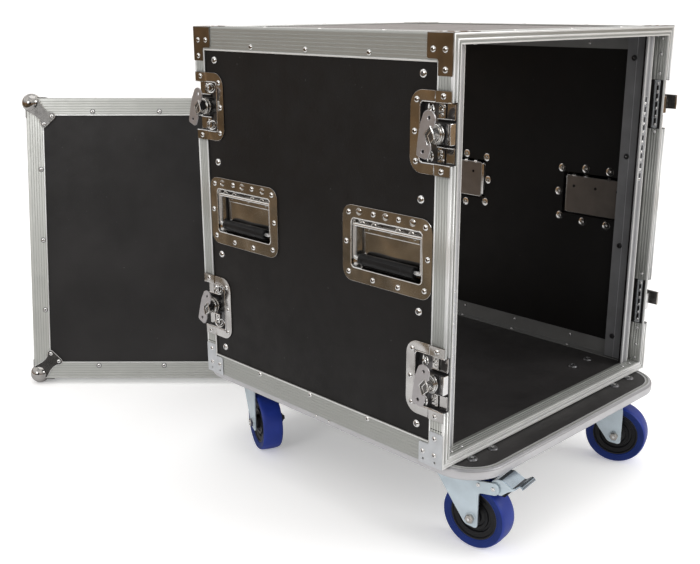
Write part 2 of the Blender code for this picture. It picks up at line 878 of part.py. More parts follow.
def make_latch_slots(panels):
    """The openings that the latch dishes need in the side panels and the end frames."""
    slots = []
    margin = DISH_THICKNESS + CLEARANCE
    half = LATCH_MOUTH_HEIGHT / 2 + margin
    reach = LATCH_MOUTH_REACH - LATCH_SETBACK + margin
    for name, end, side, at, _ in latch_places():
        ys = sorted((at.y - ENDS[end] * reach, ENDS[end] * (HALF_DEPTH + FRAME_FLANGE)))
        # The slot goes just through the panel, and leaves the frame's inner flange whole.
        inner = WALL + CLEARANCE / 2
        xs = sorted((at.x - SIDES[side] * inner, at.x + SIDES[side] * FRAME_FLANGE))
        slot = box(
            f"{name}_latch_slot", (xs[0], ys[0], at.z - half), (xs[1], ys[1], at.z + half), helpers
        )
        cut(panels[side], slot)
        slots.append((end, slot))
    return slots


def make_latches(materials):
    dish, wing = latch_master(materials), wing_master(materials)
    made = []
    for name, end, side, at, turn in latch_places():
        made.append(copy_of(dish, f"{name}_latch_dish", at, turn))
        rest = Matrix.Rotation(math.radians(WING_REST[end, side]), 4, "X")
        made.append(copy_of(wing, f"{name}_latch_wing", at, turn @ rest))
    return made


# Castor board


def make_board(materials):
    half = (BOARD_WIDTH / 2 - TRIM_WALL - CLEARANCE, BOARD_DEPTH / 2 - TRIM_WALL - CLEARANCE)
    corner = BOARD_CORNER - TRIM_WALL - CLEARANCE
    board = flat_outline(
        "castor_board",
        rounded_rectangle((-half[0], -half[1]), half, corner),
        BOARD_THICKNESS,
        ((1, 0, 0), (0, 1, 0)),
        (0, 0, BOARD_BOTTOM + BOARD_THICKNESS / 2),
        parts,
        materials["laminate"],
    )
    # The trim is a C section, bent round the board's edge.
    mid_z = BOARD_BOTTOM + BOARD_THICKNESS / 2
    inside = BOARD_THICKNESS / 2 + CLEARANCE
    outside = inside + TRIM_LIP_THICKNESS
    rounding = outside / 2
    profile = (
        [(-TRIM_LIP, inside), (-TRIM_LIP, outside)]
        + [(-rounding + u, v) for u, v in arc((0, outside - rounding), rounding, 90, 0, 3)]
        + [(-rounding + u, v) for u, v in arc((0, rounding - outside), rounding, 0, -90, 3)]
        + [(-TRIM_LIP, -outside), (-TRIM_LIP, -inside), (-TRIM_WALL, -inside), (-TRIM_WALL, inside)]
    )
    section = bpy.data.curves.new("trim_section", "CURVE")
    section.dimensions = "2D"
    spline = section.splines.new("POLY")
    spline.points.add(len(profile) - 1)
    for point, (u, v) in zip(spline.points, profile):
        point.co = (u, v, 0, 1)
    spline.use_cyclic_u = True
    section_object = place(bpy.data.objects.new("trim_section", section), helpers)
    path = bpy.data.curves.new("board_trim", "CURVE")
    path.dimensions = "3D"
    path.bevel_mode = "OBJECT"
    path.bevel_object = section_object
    points = rounded_rectangle(
        (-BOARD_WIDTH / 2, -BOARD_DEPTH / 2), (BOARD_WIDTH / 2, BOARD_DEPTH / 2), BOARD_CORNER
    )
    spline = path.splines.new("POLY")
    spline.points.add(len(points) - 1)
    for point, (x, y) in zip(spline.points, points):
        point.co = (x, y, 0, 1)
    spline.use_cyclic_u = True
    trim = place(bpy.data.objects.new("board_trim", path), parts, materials["aluminium"])
    trim.location.z = mid_z
    bpy.context.view_layer.update()
    trim = made_mesh(trim)
    return [board, trim]


# Castors, built with the wheel trailing towards -Y and the swivel axis at X = Y = 0


def castor_plate_master(materials):
    top = CASTOR_HEIGHT
    under = top - CASTOR_PLATE_THICKNESS
    half = (CASTOR_PLATE_WIDTH / 2, CASTOR_PLATE_LENGTH / 2)
    plate = box(
        "castor_plate_master", (-half[0], -half[1], under), (half[0], half[1], top), helpers, materials["zinc"]
    )
    race_bottom = under - RACE_HEIGHT
    race_top = under + CASTOR_PLATE_THICKNESS / 2
    join(
        plate,
        cylinder("race", (0, 0, race_bottom), (0, 0, race_top), RACE_RADIUS, ROUND_SIDES, helpers),
    )
    for x in (-CASTOR_HOLE_SPACING_X / 2, CASTOR_HOLE_SPACING_X / 2):
        for y in (-CASTOR_HOLE_SPACING_Y / 2, CASTOR_HOLE_SPACING_Y / 2):
            cut(
                plate,
                cylinder(
                    f"castor_hole_{x:.3f}_{y:.3f}",
                    (x, y, under - SUNK),
                    (x, y, top + SUNK),
                    CASTOR_HOLE_RADIUS,
                    ROUND_SIDES // 2,
                    helpers,
                ),
            )
    return finished(plate), race_bottom - CLEARANCE


def leg_outline(crown_top, braked):
    """One side of the fork, as (distance along the trail, height)."""
    front = CASTOR_TRAIL + FORK_LEG_FRONT
    low = WHEEL_RADIUS - FORK_LEG_BELOW
    toe = FORK_LEG_BELOW / 2
    shoulder = crown_top - FORK_CROWN_DISC - 2 * FORK_STEEL
    outline = [(-FORK_BACK_REACH, crown_top - FORK_CROWN_DISC), (-FORK_BACK_REACH, shoulder)]
    outline += arc((CASTOR_TRAIL - toe, low + toe), toe, 210, 270, 2)
    outline += arc((front - toe, low + toe), toe, 270, 360, 2)
    if braked:
        pivot_u = CASTOR_TRAIL + BRAKE_PIVOT_REACH
        pivot_v = CASTOR_HEIGHT - BRAKE_PIVOT_DROP
        end = CASTOR_TRAIL + BRAKE_ARM_END
        outline += [
            (front, pivot_v - BRAKE_ARM_HEIGHT),
            (pivot_u, pivot_v - BRAKE_ARM_HEIGHT / 2),
            (end, pivot_v - BRAKE_ARM_HEIGHT / 4),
            (end, pivot_v + BRAKE_ARM_HEIGHT / 4),
            (pivot_u, pivot_v + BRAKE_ARM_HEIGHT / 2),
            (front, crown_top - FORK_CROWN_DISC),
        ]
    else:
        outline += [(front, shoulder), (front - toe, crown_top - FORK_CROWN_DISC)]
    return outline


def fork_master(materials, crown_top, braked):
    """The swivelling fork with its axle bolt, and the brake's arm where it has one."""
    inside = WHEEL_WIDTH / 2 + HUB_OVERHANG + FORK_SIDE_GAP
    outside = inside + FORK_STEEL
    deck_top = crown_top - FORK_CROWN_DISC
    deck_bottom = deck_top - FORK_STEEL
    kind = "braked_fork" if braked else "plain_fork"
    outline = leg_outline(crown_top, braked)
    fork = cylinder(
        f"{kind}_master",
        (0, 0, deck_bottom),
        (0, 0, crown_top),
        RACE_RADIUS,
        ROUND_SIDES,
        helpers,
        materials["zinc"],
    )
    join(
        fork,
        box(
            f"{kind}_deck",
            (-outside + SUNK, -(CASTOR_TRAIL + FORK_LEG_FRONT / 2), deck_bottom),
            (outside - SUNK, FORK_BACK_REACH - SUNK, deck_top - SUNK / 2),
            helpers,
        ),
    )
    for sign in (-1, 1):
        join(
            fork,
            flat_outline(
                f"{kind}_leg_{sign}",
                outline,
                FORK_STEEL,
                ((0, -1, 0), (0, 0, 1)),
                (sign * (inside + FORK_STEEL / 2), 0, 0),
                helpers,
            ),
            cylinder(
                f"{kind}_bolt_{sign}",
                (sign * (outside - SUNK), -CASTOR_TRAIL, WHEEL_RADIUS),
                (sign * (outside + BOLT_HEAD), -CASTOR_TRAIL, WHEEL_RADIUS),
                BOLT_RADIUS,
                BOLT_SIDES,
                helpers,
            ),
        )
    axle = outside - SUNK
    join(
        fork,
        cylinder(
            f"{kind}_axle",
            (-axle, -CASTOR_TRAIL, WHEEL_RADIUS),
            (axle, -CASTOR_TRAIL, WHEEL_RADIUS),
            AXLE_RADIUS,
            ROUND_SIDES,
            helpers,
        ),
    )
    return finished(fork)


def wheel_master(materials):
    """A turned wheel: blue tyre, recessed hub and bore, with its axis along X and a flat at its foot."""
    half = WHEEL_WIDTH / 2
    # The corners of a many-sided wheel lie outside the circle that its flats touch.
    outer = WHEEL_RADIUS / math.cos(math.pi / WHEEL_SIDES)
    bore = (AXLE_RADIUS + CLEARANCE) / math.cos(math.pi / ROUND_SIDES)
    hub_face = half + HUB_OVERHANG
    rim = outer - TYRE_THICKNESS
    right = [
        (bore, hub_face),
        (HUB_RADIUS, hub_face),
        (HUB_RADIUS, half - HUB_RECESS),
        (rim - TYRE_ROUNDING, half - HUB_RECESS),
        (rim, half - TYRE_ROUNDING / 2),
        (outer - TYRE_ROUNDING, half),
        (outer, half - TYRE_ROUNDING),
    ]
    profile = right + [(r, -z) for r, z in reversed(right)]
    mesh = bpy.data.meshes.new("wheel_profile")
    corners = len(profile)
    mesh.from_pydata(
        [(r, 0, z) for r, z in profile], [(i, (i + 1) % corners) for i in range(corners)], []
    )
    wheel = place(bpy.data.objects.new("wheel_master", mesh), helpers, materials["tyre"])
    screw = wheel.modifiers.new("turned", "SCREW")
    screw.steps = WHEEL_SIDES
    screw.render_steps = WHEEL_SIDES
    screw.use_merge_vertices = True
    screw.merge_threshold = 0.0001
    wheel = finished(wheel)
    half_step = Matrix.Rotation(math.pi / WHEEL_SIDES, 4, "Z")
    wheel.data.transform(Matrix.Rotation(math.pi / 2, 4, "Y") @ half_step)
    return wheel


def pedal_master(materials):
    """The brake's foot lever: its origin is on its pivot."""
    half = WHEEL_WIDTH / 2
    steel = PEDAL_THICKNESS
    rise = PEDAL_RISE
    length = PEDAL_LENGTH
    upper = [(0, steel / 2), (length * 0.55, rise), (length, rise), (length + PEDAL_LIP / 2, rise - PEDAL_LIP)]
    lower = [(u, v - steel) for u, v in reversed(upper)]
    lower[0] = (length + PEDAL_LIP / 2 - steel, rise - PEDAL_LIP)
    lower[1] = (length - steel, rise - steel)
    pedal = flat_outline(
        "brake_pedal_master",
        upper + lower,
        2 * half,
        ((0, -1, 0), (0, 0, 1)),
        (0, 0, 0),
        helpers,
        materials["zinc"],
    )
    barrel = half + HUB_OVERHANG + FORK_SIDE_GAP - CLEARANCE
    join(
        pedal,
        cylinder(
            "pedal_barrel", (-barrel, 0, 0), (barrel, 0, 0), BRAKE_BARREL_RADIUS, ROUND_SIDES // 2, helpers
        ),
    )
    return finished(pedal)


def make_castors(materials, case):
    plate, crown_top = castor_plate_master(materials)
    forks = {braked: fork_master(materials, crown_top, braked) for braked in (False, True)}
    wheel, pedal = wheel_master(materials), pedal_master(materials)
    pivot = Vector((0, -(CASTOR_TRAIL + BRAKE_PIVOT_REACH), CASTOR_HEIGHT - BRAKE_PIVOT_DROP))
    made = []
    for end, along in ENDS.items():
        for side, across in SIDES.items():
            name = f"{end}_{side}"
            at = Vector((across * CASTOR_X, along * CASTOR_Y, 0))
            made.append(copy_of(plate, f"{name}_castor_plate", at))
            parent_to(made[-1], case)
            braked = name in BRAKED_CASTORS
            turn = Matrix.Rotation(math.radians(CASTOR_HEADING[name]), 4, "Z")
            swivel = empty(f"{name}_castor", at, CASTOR_HEADING[name])
            axle = Vector((0, -CASTOR_TRAIL, WHEEL_RADIUS))
            moving = [
                copy_of(forks[braked], f"{name}_castor_fork", at, turn),
                copy_of(wheel, f"{name}_castor_wheel", at + turn @ axle, turn),
            ]
            if braked:
                moving.append(copy_of(pedal, f"{name}_brake_pedal", at + turn @ pivot, turn))
            for obj in moving:
                parent_to(obj, swivel)
            parent_to(swivel, case)
            made += moving
    return made


# The lid, in its own frame: its outer face at Y = 0 looking to -Y, its left lower corner at X = Z = 0


def lid_box(name, inset, ys, collection, material=None):
    return box(
        name,
        (inset, ys[0], inset),
        (BODY_WIDTH - inset, ys[1], BODY_HEIGHT - inset),
        collection,
        material,
    )


def add_ball_corners(frame):
    """A pressed ball at each corner, with a waisted leg on the lid's face and a tab on each side."""
    lift = CLEARANCE + BRACE_THICKNESS
    half = BALL_LEG_WIDTH / 2
    tab_ys = (SUNK, LID_FLANGE - 2 * SUNK)
    tab_end = BALL_RADIUS + BALL_TAB_LENGTH
    for x_name, x, out_x in (("left", 0, -1), ("right", BODY_WIDTH, 1)):
        for z_name, z, out_z in (("lower", 0, -1), ("upper", BODY_HEIGHT, 1)):
            name = f"lid_{z_name}_{x_name}_ball"
            centre = Vector((x - out_x * BALL_INSET, BALL_INSET, z - out_z * BALL_INSET))

            def build_ball(bm, at=centre):
                bmesh.ops.create_uvsphere(
                    bm,
                    u_segments=ROUND_SIDES,
                    v_segments=ROUND_SIDES // 2,
                    radius=BALL_RADIUS,
                    matrix=Matrix.Translation(at) @ Matrix.Rotation(math.pi / 2, 4, "X"),
                )

            join(frame, from_bmesh(name, build_ball, helpers))
            along = Vector((-out_x, 0, -out_z)).normalized()
            across = Vector((-along.z, 0, along.x))
            length = BALL_RADIUS + BALL_LEG_LENGTH
            waist = half * BALL_LEG_WAIST
            leg = [(0, -waist), (length * BALL_LEG_WAIST, -waist), (length, -half)]
            leg += [(u, -v) for u, v in reversed(leg)]
            start = Vector((centre.x, -CLEARANCE - BRACE_THICKNESS / 2, centre.z))
            join(
                frame,
                flat_outline(name + "_leg", leg, BRACE_THICKNESS, (along, across), start, helpers),
            )
            side_xs = sorted((x + out_x * lift, x - out_x * SUNK / 2))
            side_zs = sorted((centre.z, z - out_z * tab_end))
            end_xs = sorted((centre.x, x - out_x * tab_end))
            end_zs = sorted((z + out_z * lift, z - out_z * SUNK / 2))
            for tab, xs, zs in (("_side_tab", side_xs, side_zs), ("_end_tab", end_xs, end_zs)):
                join(
                    frame,
                    box(name + tab, (xs[0], tab_ys[0], zs[0]), (xs[1], tab_ys[1], zs[1]), helpers),
                )


def make_lid(materials):
    """A shallow tray of boards in an aluminium frame: angles on its edges and the extrusion on its rim."""
    steel = FLANGE_THICKNESS
    rim = LID_DEPTH - LID_RIM_FLANGE
    beyond = 2 * LID_DEPTH
    tray = lid_box(
        "lid_panel", PANEL_SEAT, (PANEL_SEAT, LID_DEPTH - FRAME_WEB - CLEARANCE), parts, materials["laminate"]
    )
    cut(tray, lid_box("lid_hollow", WALL, (PANEL_SEAT + PANEL_THICKNESS, beyond), helpers))
    frame = lid_box("lid_frame", 0, (0, LID_DEPTH), parts, materials["aluminium"])
    add_ball_corners(frame)
    groove = lid_box("lid_groove", steel, (rim - SUNK, LID_DEPTH - FRAME_WEB), helpers)
    cut(groove, lid_box("lid_groove_core", WALL + CLEARANCE, (0, beyond), helpers))
    windows = (LID_FLANGE, rim)
    cut(
        frame,
        lid_box("lid_room", steel, (steel, rim), helpers),
        groove,
        lid_box("lid_opening", FRAME_THICKNESS, (rim - SUNK, beyond), helpers),
        lid_box("lid_face_window", LID_FLANGE, (-CLEARANCE / 2, 2 * steel), helpers),
        box(
            "lid_side_windows",
            (-LID_DEPTH, windows[0], LID_FLANGE),
            (BODY_WIDTH + LID_DEPTH, windows[1], BODY_HEIGHT - LID_FLANGE),
            helpers,
        ),
        box(
            "lid_end_windows",
            (LID_FLANGE, windows[0], -LID_DEPTH),
            (BODY_WIDTH - LID_FLANGE, windows[1], BODY_HEIGHT + LID_DEPTH),
            helpers,
        ),
    )
    return [finished(tray), finished(frame)]


def stand_lid(pieces):
    """Leans the lid back until its lower ball corners and the foot of its rim both touch the floor."""
    to_rim = LID_DEPTH - BALL_INSET
    # The floor touches the ball and passes through the rim's lower edge.
    distance = math.hypot(to_rim, BALL_INSET)
    lean = math.asin(BALL_RADIUS / distance) - math.atan2(BALL_INSET, to_rim)
    lid = empty("lid", (0, 0, 0))
    for piece in pieces:
        parent_to(piece, lid)
    turn = Matrix.Rotation(-lean, 4, "X")
    heading = Matrix.Rotation(math.radians(LID_HEADING), 4, "Z")
    foot = turn @ Vector((0, LID_DEPTH, 0))
    lid.matrix_world = Matrix.Translation((*LID_AT, -foot.z)) @ heading @ turn
    bpy.context.view_layer.update()
    return lid


def centre_on_floor(roots):
    """Moves everything so that the origin is under the middle of the whole object's box, on the floor."""
    corners = []
    for obj in parts.objects:
        if obj.type == "MESH":
            corners += [obj.matrix_world @ vertex.co for vertex in obj.data.vertices]
    low = [min(corner[i] for corner in corners) for i in range(3)]
    high = [max(corner[i] for corner in corners) for i in range(3)]
    shift = Matrix.Translation((-(low[0] + high[0]) / 2, -(low[1] + high[1]) / 2, -low[2]))
    for root in roots:
        root.matrix_world = shift @ root.matrix_world
    bpy.context.view_layer.update()


def main():
    clear_scene()
    materials = make_materials()
    case = empty("case", (0, 0, 0))
    panels = make_panels(materials)
    edges = make_edges(materials)
    latch_slots = make_latch_slots(panels)
    frames = make_frames(materials, latch_slots)
    rails = make_rails(materials)
    handles = make_handles(materials, panels)
    latches = make_latches(materials)
    board = make_board(materials)
    boards = [finished(panel) for panel in panels.values()]
    make_castors(materials, case)
    for obj in [*boards, *edges, *frames, *rails, *handles, *latches, *board]:
        parent_to(obj, case)
    lid = stand_lid(make_lid(materials))
    centre_on_floor((case, lid))


main()
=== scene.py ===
"""The finish of a rack case on a castor board, with its lid stood behind it, and the studio round it.

Sizes and places are in millimetres until a mesh or an object is made. Pieces of the case are built with
the middle of the body's underside at the origin, and CASE takes them to their place in the frame.
"""

import json
import math

import bmesh
import bpy
from mathutils import Matrix, Vector

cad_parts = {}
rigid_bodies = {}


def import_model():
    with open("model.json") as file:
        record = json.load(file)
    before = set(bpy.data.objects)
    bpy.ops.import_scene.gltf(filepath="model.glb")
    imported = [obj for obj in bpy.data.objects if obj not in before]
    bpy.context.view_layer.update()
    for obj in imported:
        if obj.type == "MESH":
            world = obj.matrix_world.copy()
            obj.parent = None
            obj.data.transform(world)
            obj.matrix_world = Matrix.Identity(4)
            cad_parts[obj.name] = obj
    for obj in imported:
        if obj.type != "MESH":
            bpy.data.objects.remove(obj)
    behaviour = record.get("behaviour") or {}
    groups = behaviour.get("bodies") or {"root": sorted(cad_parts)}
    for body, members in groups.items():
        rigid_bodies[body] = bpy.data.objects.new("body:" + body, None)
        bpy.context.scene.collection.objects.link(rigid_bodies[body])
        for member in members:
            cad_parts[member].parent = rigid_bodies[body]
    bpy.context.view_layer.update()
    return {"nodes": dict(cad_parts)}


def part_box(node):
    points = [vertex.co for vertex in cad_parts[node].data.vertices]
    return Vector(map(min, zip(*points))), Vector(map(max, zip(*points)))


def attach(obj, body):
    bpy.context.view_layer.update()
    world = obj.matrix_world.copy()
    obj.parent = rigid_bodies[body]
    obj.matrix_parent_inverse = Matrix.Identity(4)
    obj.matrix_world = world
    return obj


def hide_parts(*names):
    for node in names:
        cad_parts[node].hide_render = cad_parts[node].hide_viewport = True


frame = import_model()

MM = 0.001


def box(node):
    """The lowest and the highest corner of a frame node, in millimetres."""
    return [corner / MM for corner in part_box(node)]


def middle_of(node):
    low, high = box(node)
    return (low + high) / 2


# The case, from the frame
BRACE_LIFT = 1.5
front_low, front_high = box("front_frame")
rear_high = box("rear_frame")[1]
HALF_WIDTH = (front_high.x - front_low.x) / 2 - BRACE_LIFT
HALF_DEPTH = (rear_high.y - front_low.y) / 2
HEIGHT = front_high.z - front_low.z - BRACE_LIFT
MIDDLE = Vector(((front_low.x + front_high.x) / 2, (front_low.y + rear_high.y) / 2, 0))
CASE = Matrix.Translation((MIDDLE.x, MIDDLE.y, front_low.z))
PANEL_SEAT = 1.8
WALL = 10.8
INNER_WALL = HALF_WIDTH - WALL
FRAME_FLANGE = 26
FRAME_DEPTH = 14.1
EDGE_FLANGE = 35
CORNER = 2.5
SKIN = 1.5
# Pressed steel
STEEL = 1.2
GAP = 0.3
SIDES = {"left": -1, "right": 1}
ENDS = {"front": -1, "rear": 1}
# Each level's edge, and the way from it into the body
LEVELS = {"lower": (0, 1), "upper": (HEIGHT, -1)}
EDGE_RIVETS = (121, 2, -120)
EDGE_ROW = 27

# Latches
LATCH_FROM_END = 120
LATCH_HEIGHTS = {"lower": LATCH_FROM_END, "upper": HEIGHT - LATCH_FROM_END}
LATCH_SETBACK = 24
LATCH_HALF = 52
LATCH_REACH = 44.5
LATCH_CORNER = 20
LATCH_BEND = 2.3
MOUTH_HALF = 38
MOUTH_REACH = 29
MOUTH_CORNER = 6
LATCH_FLOOR = -9.3
# (distance back from the case's end, height)
LATCH_RIVETS = ((58.6, 37.5), (61, 0), (58, -39.5))
WING_BACK = 16.3
WING_REST = {
    ("front", "left"): -8.5,
    ("rear", "left"): -18,
    ("front", "right"): 90,
    ("rear", "right"): 0,
}

# Handles
HANDLE_FROM_MIDDLE = 152
HANDLE_HALF = (82, 54)
HANDLE_CORNER = 18
RECESS_HALF = (65, 35)
RECESS_AT = (0, 1)
PAN_HALF = (56, 31)
PAN_FLOOR = -11
HANDLE_RIVETS = ((69.8, 43.2), (74.4, 1.4), (69.8, -41.2), (23.2, -46))
HEAD_ROW = (-50.2, -22.8, -0.7, 23.1, 47.7)
HEAD_ROW_RISE = 46
CLIPS = (-46.5, -24.5, 19.7, 43)
BAIL_RADIUS = 3
BAIL_DROP = 48
BAIL_ARM = 61.7
BAIL_BEND = 5
GRIP_HALF = 50
GRIP_RADIUS = 8

# Rack rails
RACK_UNIT = 44.45
RACK_UNITS = 12
THREADED_UNITS = (7, 8, 9)
RAIL_SCREWS = (518, 361.5, 212, 52.5)
RAIL_FROM_MIDDLE = 212

# Castors
WHEEL_RADIUS = 50
CASTOR_TRAIL = 34
CASTOR_HEADING = {"front_left": 7.7, "front_right": 20, "rear_left": -22.8, "rear_right": 12}
BRAKED = ("front_left", "rear_right")
BOLT_AT = (23, 40)

# The lid
LID_DEPTH = 60
LID_RIM_SHARE = 16 / 26
LID_HEADING = -44.5
BALL_RADIUS = 19
BALL_INSET = 9.5


# Materials


class Wiring:
    """A node tree as it is wired up."""

    def __init__(self, tree):
        self.tree = tree

    def feed(self, node, inputs):
        """Sets a node's inputs, or links those that are given another node's output."""
        for name, value in inputs.items():
            socket = node.inputs[name.replace("_", " ")]
            if isinstance(value, bpy.types.NodeSocket):
                self.tree.links.new(value, socket)
            else:
                socket.default_value = value

    def node(self, kind, output, settings=(), **inputs):
        """Adds a node and gives back one of its outputs."""
        node = self.tree.nodes.new(f"ShaderNode{kind}")
        for name, value in settings:
            setattr(node, name, value)
        self.feed(node, inputs)
        return node.outputs[output]

    def noise(self, scale, detail=3, stretch=(1, 1, 1)):
        place = self.node("Mapping", "Vector", Vector=self.node("TexCoord", "Object"), Scale=stretch)
        return self.node("TexNoise", "Fac", Vector=place, Scale=scale, Detail=detail)

    def ramp(self, value, *stops):
        colour = self.node("ValToRGB", "Color", Fac=value)
        elements = colour.node.color_ramp.elements
        while len(elements) < len(stops):
            elements.new(0.5)
        for element, (position, shade) in zip(elements, stops):
            element.position = position
            element.color = (*shade, 1)
        return colour

    def spread(self, value, low, high):
        """Takes the middle of a noise's range to the range from low to high."""
        return self.node(
            "MapRange", "Result", Value=value, From_Min=0.3, From_Max=0.7, To_Min=low, To_Max=high
        )

    def mix(self, blend, factor, a, b):
        settings = (("data_type", "RGBA"), ("blend_type", blend))
        return self.node("Mix", "Result", settings, Factor=factor, A=a, B=b)


class Finish(Wiring):
    """A material round its own shader."""

    def __init__(self, name):
        self.material = bpy.data.materials.new(name)
        self.material.use_nodes = True
        super().__init__(self.material.node_tree)
        self.shader = self.tree.nodes["Principled BSDF"]

    def set(self, **inputs):
        self.feed(self.shader, inputs)

    def bump(self, value, strength, distance):
        self.set(Normal=self.node("Bump", "Normal", Height=value, Strength=strength, Distance=distance))


def shaded(colour, amount):
    return tuple(channel * amount for channel in colour)


def finish_of(name, colour, roughness, metallic, clouds=30, contrast=0.12, fine=600, depth=0, specular=0.5):
    """A finish whose colour and roughness drift in soft clouds, over a fine bump.

    Roughness stays on one side of 0.274 all over: the renderer's clean-up leaves a line where it crosses.
    """
    made = Finish(name)
    dark, pale = shaded(colour, 1 - contrast), shaded(colour, 1 + contrast)
    made.set(
        Base_Color=made.ramp(made.noise(clouds), (0.3, dark), (0.7, pale)),
        Roughness=made.spread(made.noise(clouds * 2.3), roughness * 0.85, roughness * 1.15),
        Metallic=metallic,
        Specular_IOR_Level=specular,
    )
    if depth:
        made.bump(made.noise(fine, 2), 0.4, depth)
    return made.material


def laminate(name, sheen=0, dust_and_painted_sheen=1):
    """Black phenolic laminate: a fine orange peel, soft clouds and a few pale specks of wear. Its base can
    be lightened; on the lid's panel that lightening is a painted sheen.
    """
    made = Finish(name)
    low, high = shaded((0.0056, 0.0053, 0.0053), dust_and_painted_sheen), shaded((0.0086, 0.0081, 0.0081), dust_and_painted_sheen)
    base = made.ramp(made.noise(9), (0.3, low), (0.7, high))
    speck = made.ramp(made.noise(310, 1), (0.79, (0, 0, 0)), (0.84, (1, 1, 1)))
    made.set(
        Base_Color=made.mix("MIX", speck, base, (0.10, 0.10, 0.10, 1)),
        Roughness=made.spread(made.noise(40), 0.42, 0.56),
        Specular_IOR_Level=0.22,
        Sheen_Weight=sheen,
        Sheen_Roughness=0.35,
        Sheen_Tint=(0.95, 0.88, 0.85, 1),
    )
    made.bump(made.noise(520, 2), 0.35, 0.0004)
    return made.material


def aluminium(axis, painted_light_tone, stretch):
    """Satin anodised extrusion, its drawing lines along one axis; its tone is painted light, lighter or
    darker for how light falls on the faces that run along that axis.
    """
    made = Finish(f"satin_aluminium_{axis}")
    lines = made.noise(420, 2, stretch)
    low, high = shaded((0.345, 0.353, 0.335), painted_light_tone), shaded((0.368, 0.376, 0.357), painted_light_tone)
    made.set(
        Base_Color=made.ramp(lines, (0.25, low), (0.75, high)),
        Roughness=made.spread(made.noise(18), 0.34, 0.42),
        Metallic=0.6,
    )
    made.bump(lines, 0.02, 0.0001)
    return made.material


def chrome(name, amount=1):
    """Bright plate on pressed steel: slightly wavy, with smudges; an amount below 1 darkens it as painted
    shade.
    """
    made = Finish(name)
    low, high = shaded((0.44, 0.43, 0.415), amount), shaded((0.60, 0.59, 0.575), amount)
    made.set(
        Base_Color=made.ramp(made.noise(22), (0.35, low), (0.65, high)),
        Roughness=made.spread(made.noise(60), 0.09, 0.16),
        Metallic=1,
    )
    made.bump(made.noise(26, 1), 0.55, 0.0022)
    return made.material


# The tones are painted light: the side edges along Y a little darker, the uprights along Z lighter.
ALUMINIUM = {
    "x": aluminium("x", 1, (0.02, 1, 1)),
    "y": aluminium("y", 0.93, (1, 0.02, 1)),
    "z": aluminium("z", 1.10, (1, 1, 0.02)),
}
# The sill, the right upright, the head and the left upright
FRAME_FINISH = [ALUMINIUM[axis] for axis in "xzxz"]
# Painted shade in the extrusions' grooves and on their shaded inner faces, and a painted highlight on their
# raised beads.
PAINTED_SHADE_GROOVE = finish_of("aluminium_groove_painted_shade", (0.295, 0.302, 0.285), 0.5, 0.3, 30, 0.05)
SHADED = finish_of("aluminium_painted_shade", (0.19, 0.192, 0.190), 0.5, 0.4, 30, 0.06)
PAINTED_HIGHLIGHT_BEAD = finish_of("aluminium_bead_painted_highlight", (0.66, 0.665, 0.655), 0.33, 0.45, 30, 0.04)
LIP = finish_of("satin_lip", (0.46, 0.458, 0.47), 0.40, 0.4, 40, 0.04)
TRIM_BAND = finish_of("satin_trim_band", (0.28, 0.28, 0.29), 0.38, 0.5, 40, 0.04)
RAIL = finish_of("rail_aluminium", (0.42, 0.425, 0.44), 0.34, 0.5, 25, 0.06)
# Painted shade on the rack rails' webs.
RAIL_WEB_PAINTED_SHADE = finish_of("rail_web_painted_shade", (0.21, 0.213, 0.222), 0.42, 0.5, 25, 0.12)
# The lid's aluminium is a lighter copy of the body's, as painted light, and its grooves carry painted
# shade.
LID_ALUMINIUM_PAINTED_LIGHT = finish_of("lid_aluminium_painted_light", (0.46, 0.467, 0.445), 0.36, 0.5, 22, 0.04)
LID_PAINTED_SHADE_GROOVE = finish_of("lid_groove", (0.36, 0.367, 0.345), 0.45, 0.4, 30, 0.05)

LAMINATE = laminate("black_laminate")
TOP_LAMINATE = laminate("dusty_black_laminate", 0.32)
# The lid's lighter laminate is a painted sheen.
LID_LAMINATE = laminate("lid_laminate", 0, 2.5)
DECK_LAMINATE = laminate("scuffed_black_laminate", 0, 4.2)

CHROME = chrome("chrome_plate")
# The upper braces' darker plate is painted shade.
BRACE_CHROME_PAINTED_SHADE = chrome("chrome_plate_painted_shade", 0.6)
BRIGHT = finish_of("bright_plate", (0.78, 0.78, 0.77), 0.16, 1, 90, 0.06)
STUD = finish_of("stud_plate", (0.45, 0.43, 0.40), 0.14, 1, 90, 0.08)
PALE = finish_of("pale_rivet", (0.62, 0.62, 0.62), 0.22, 0.7, 90, 0.08)
# Painted dark reflection: the lid's balls, darker than the plate.
CHROME_PAINTED_DARK_REFLECTION = finish_of("chrome_painted_dark_reflection", (0.40, 0.39, 0.375), 0.12, 1, 60, 0.15)
WING = finish_of("wing_plate", (0.41, 0.397, 0.405), 0.33, 0.75, 40, 0.06)
BACK_PLATE = finish_of("plate_back", (0.225, 0.20, 0.18), 0.33, 0.8, 40, 0.10)
# Painted shade and dark reflection on pressed plate: the lid's legs and tabs, and the wing's folded tongue
# and cup.
PRESSING_PAINTED_SHADE_AND_REFLECTION = finish_of("pressing_painted_shade_and_reflection", (0.095, 0.092, 0.088), 0.235, 0.75, 60, 0.25)
# Gunmetal, used also as painted shade in the latch's recess and on the pedal.
GUNMETAL_AND_PAINTED_SHADE = finish_of("gunmetal_and_painted_shade", (0.14, 0.14, 0.145), 0.33, 0.9, 50, 0.25)
BLACK_SCREW = finish_of("black_screw", (0.03, 0.03, 0.032), 0.35, 0.6, 90, 0.2)
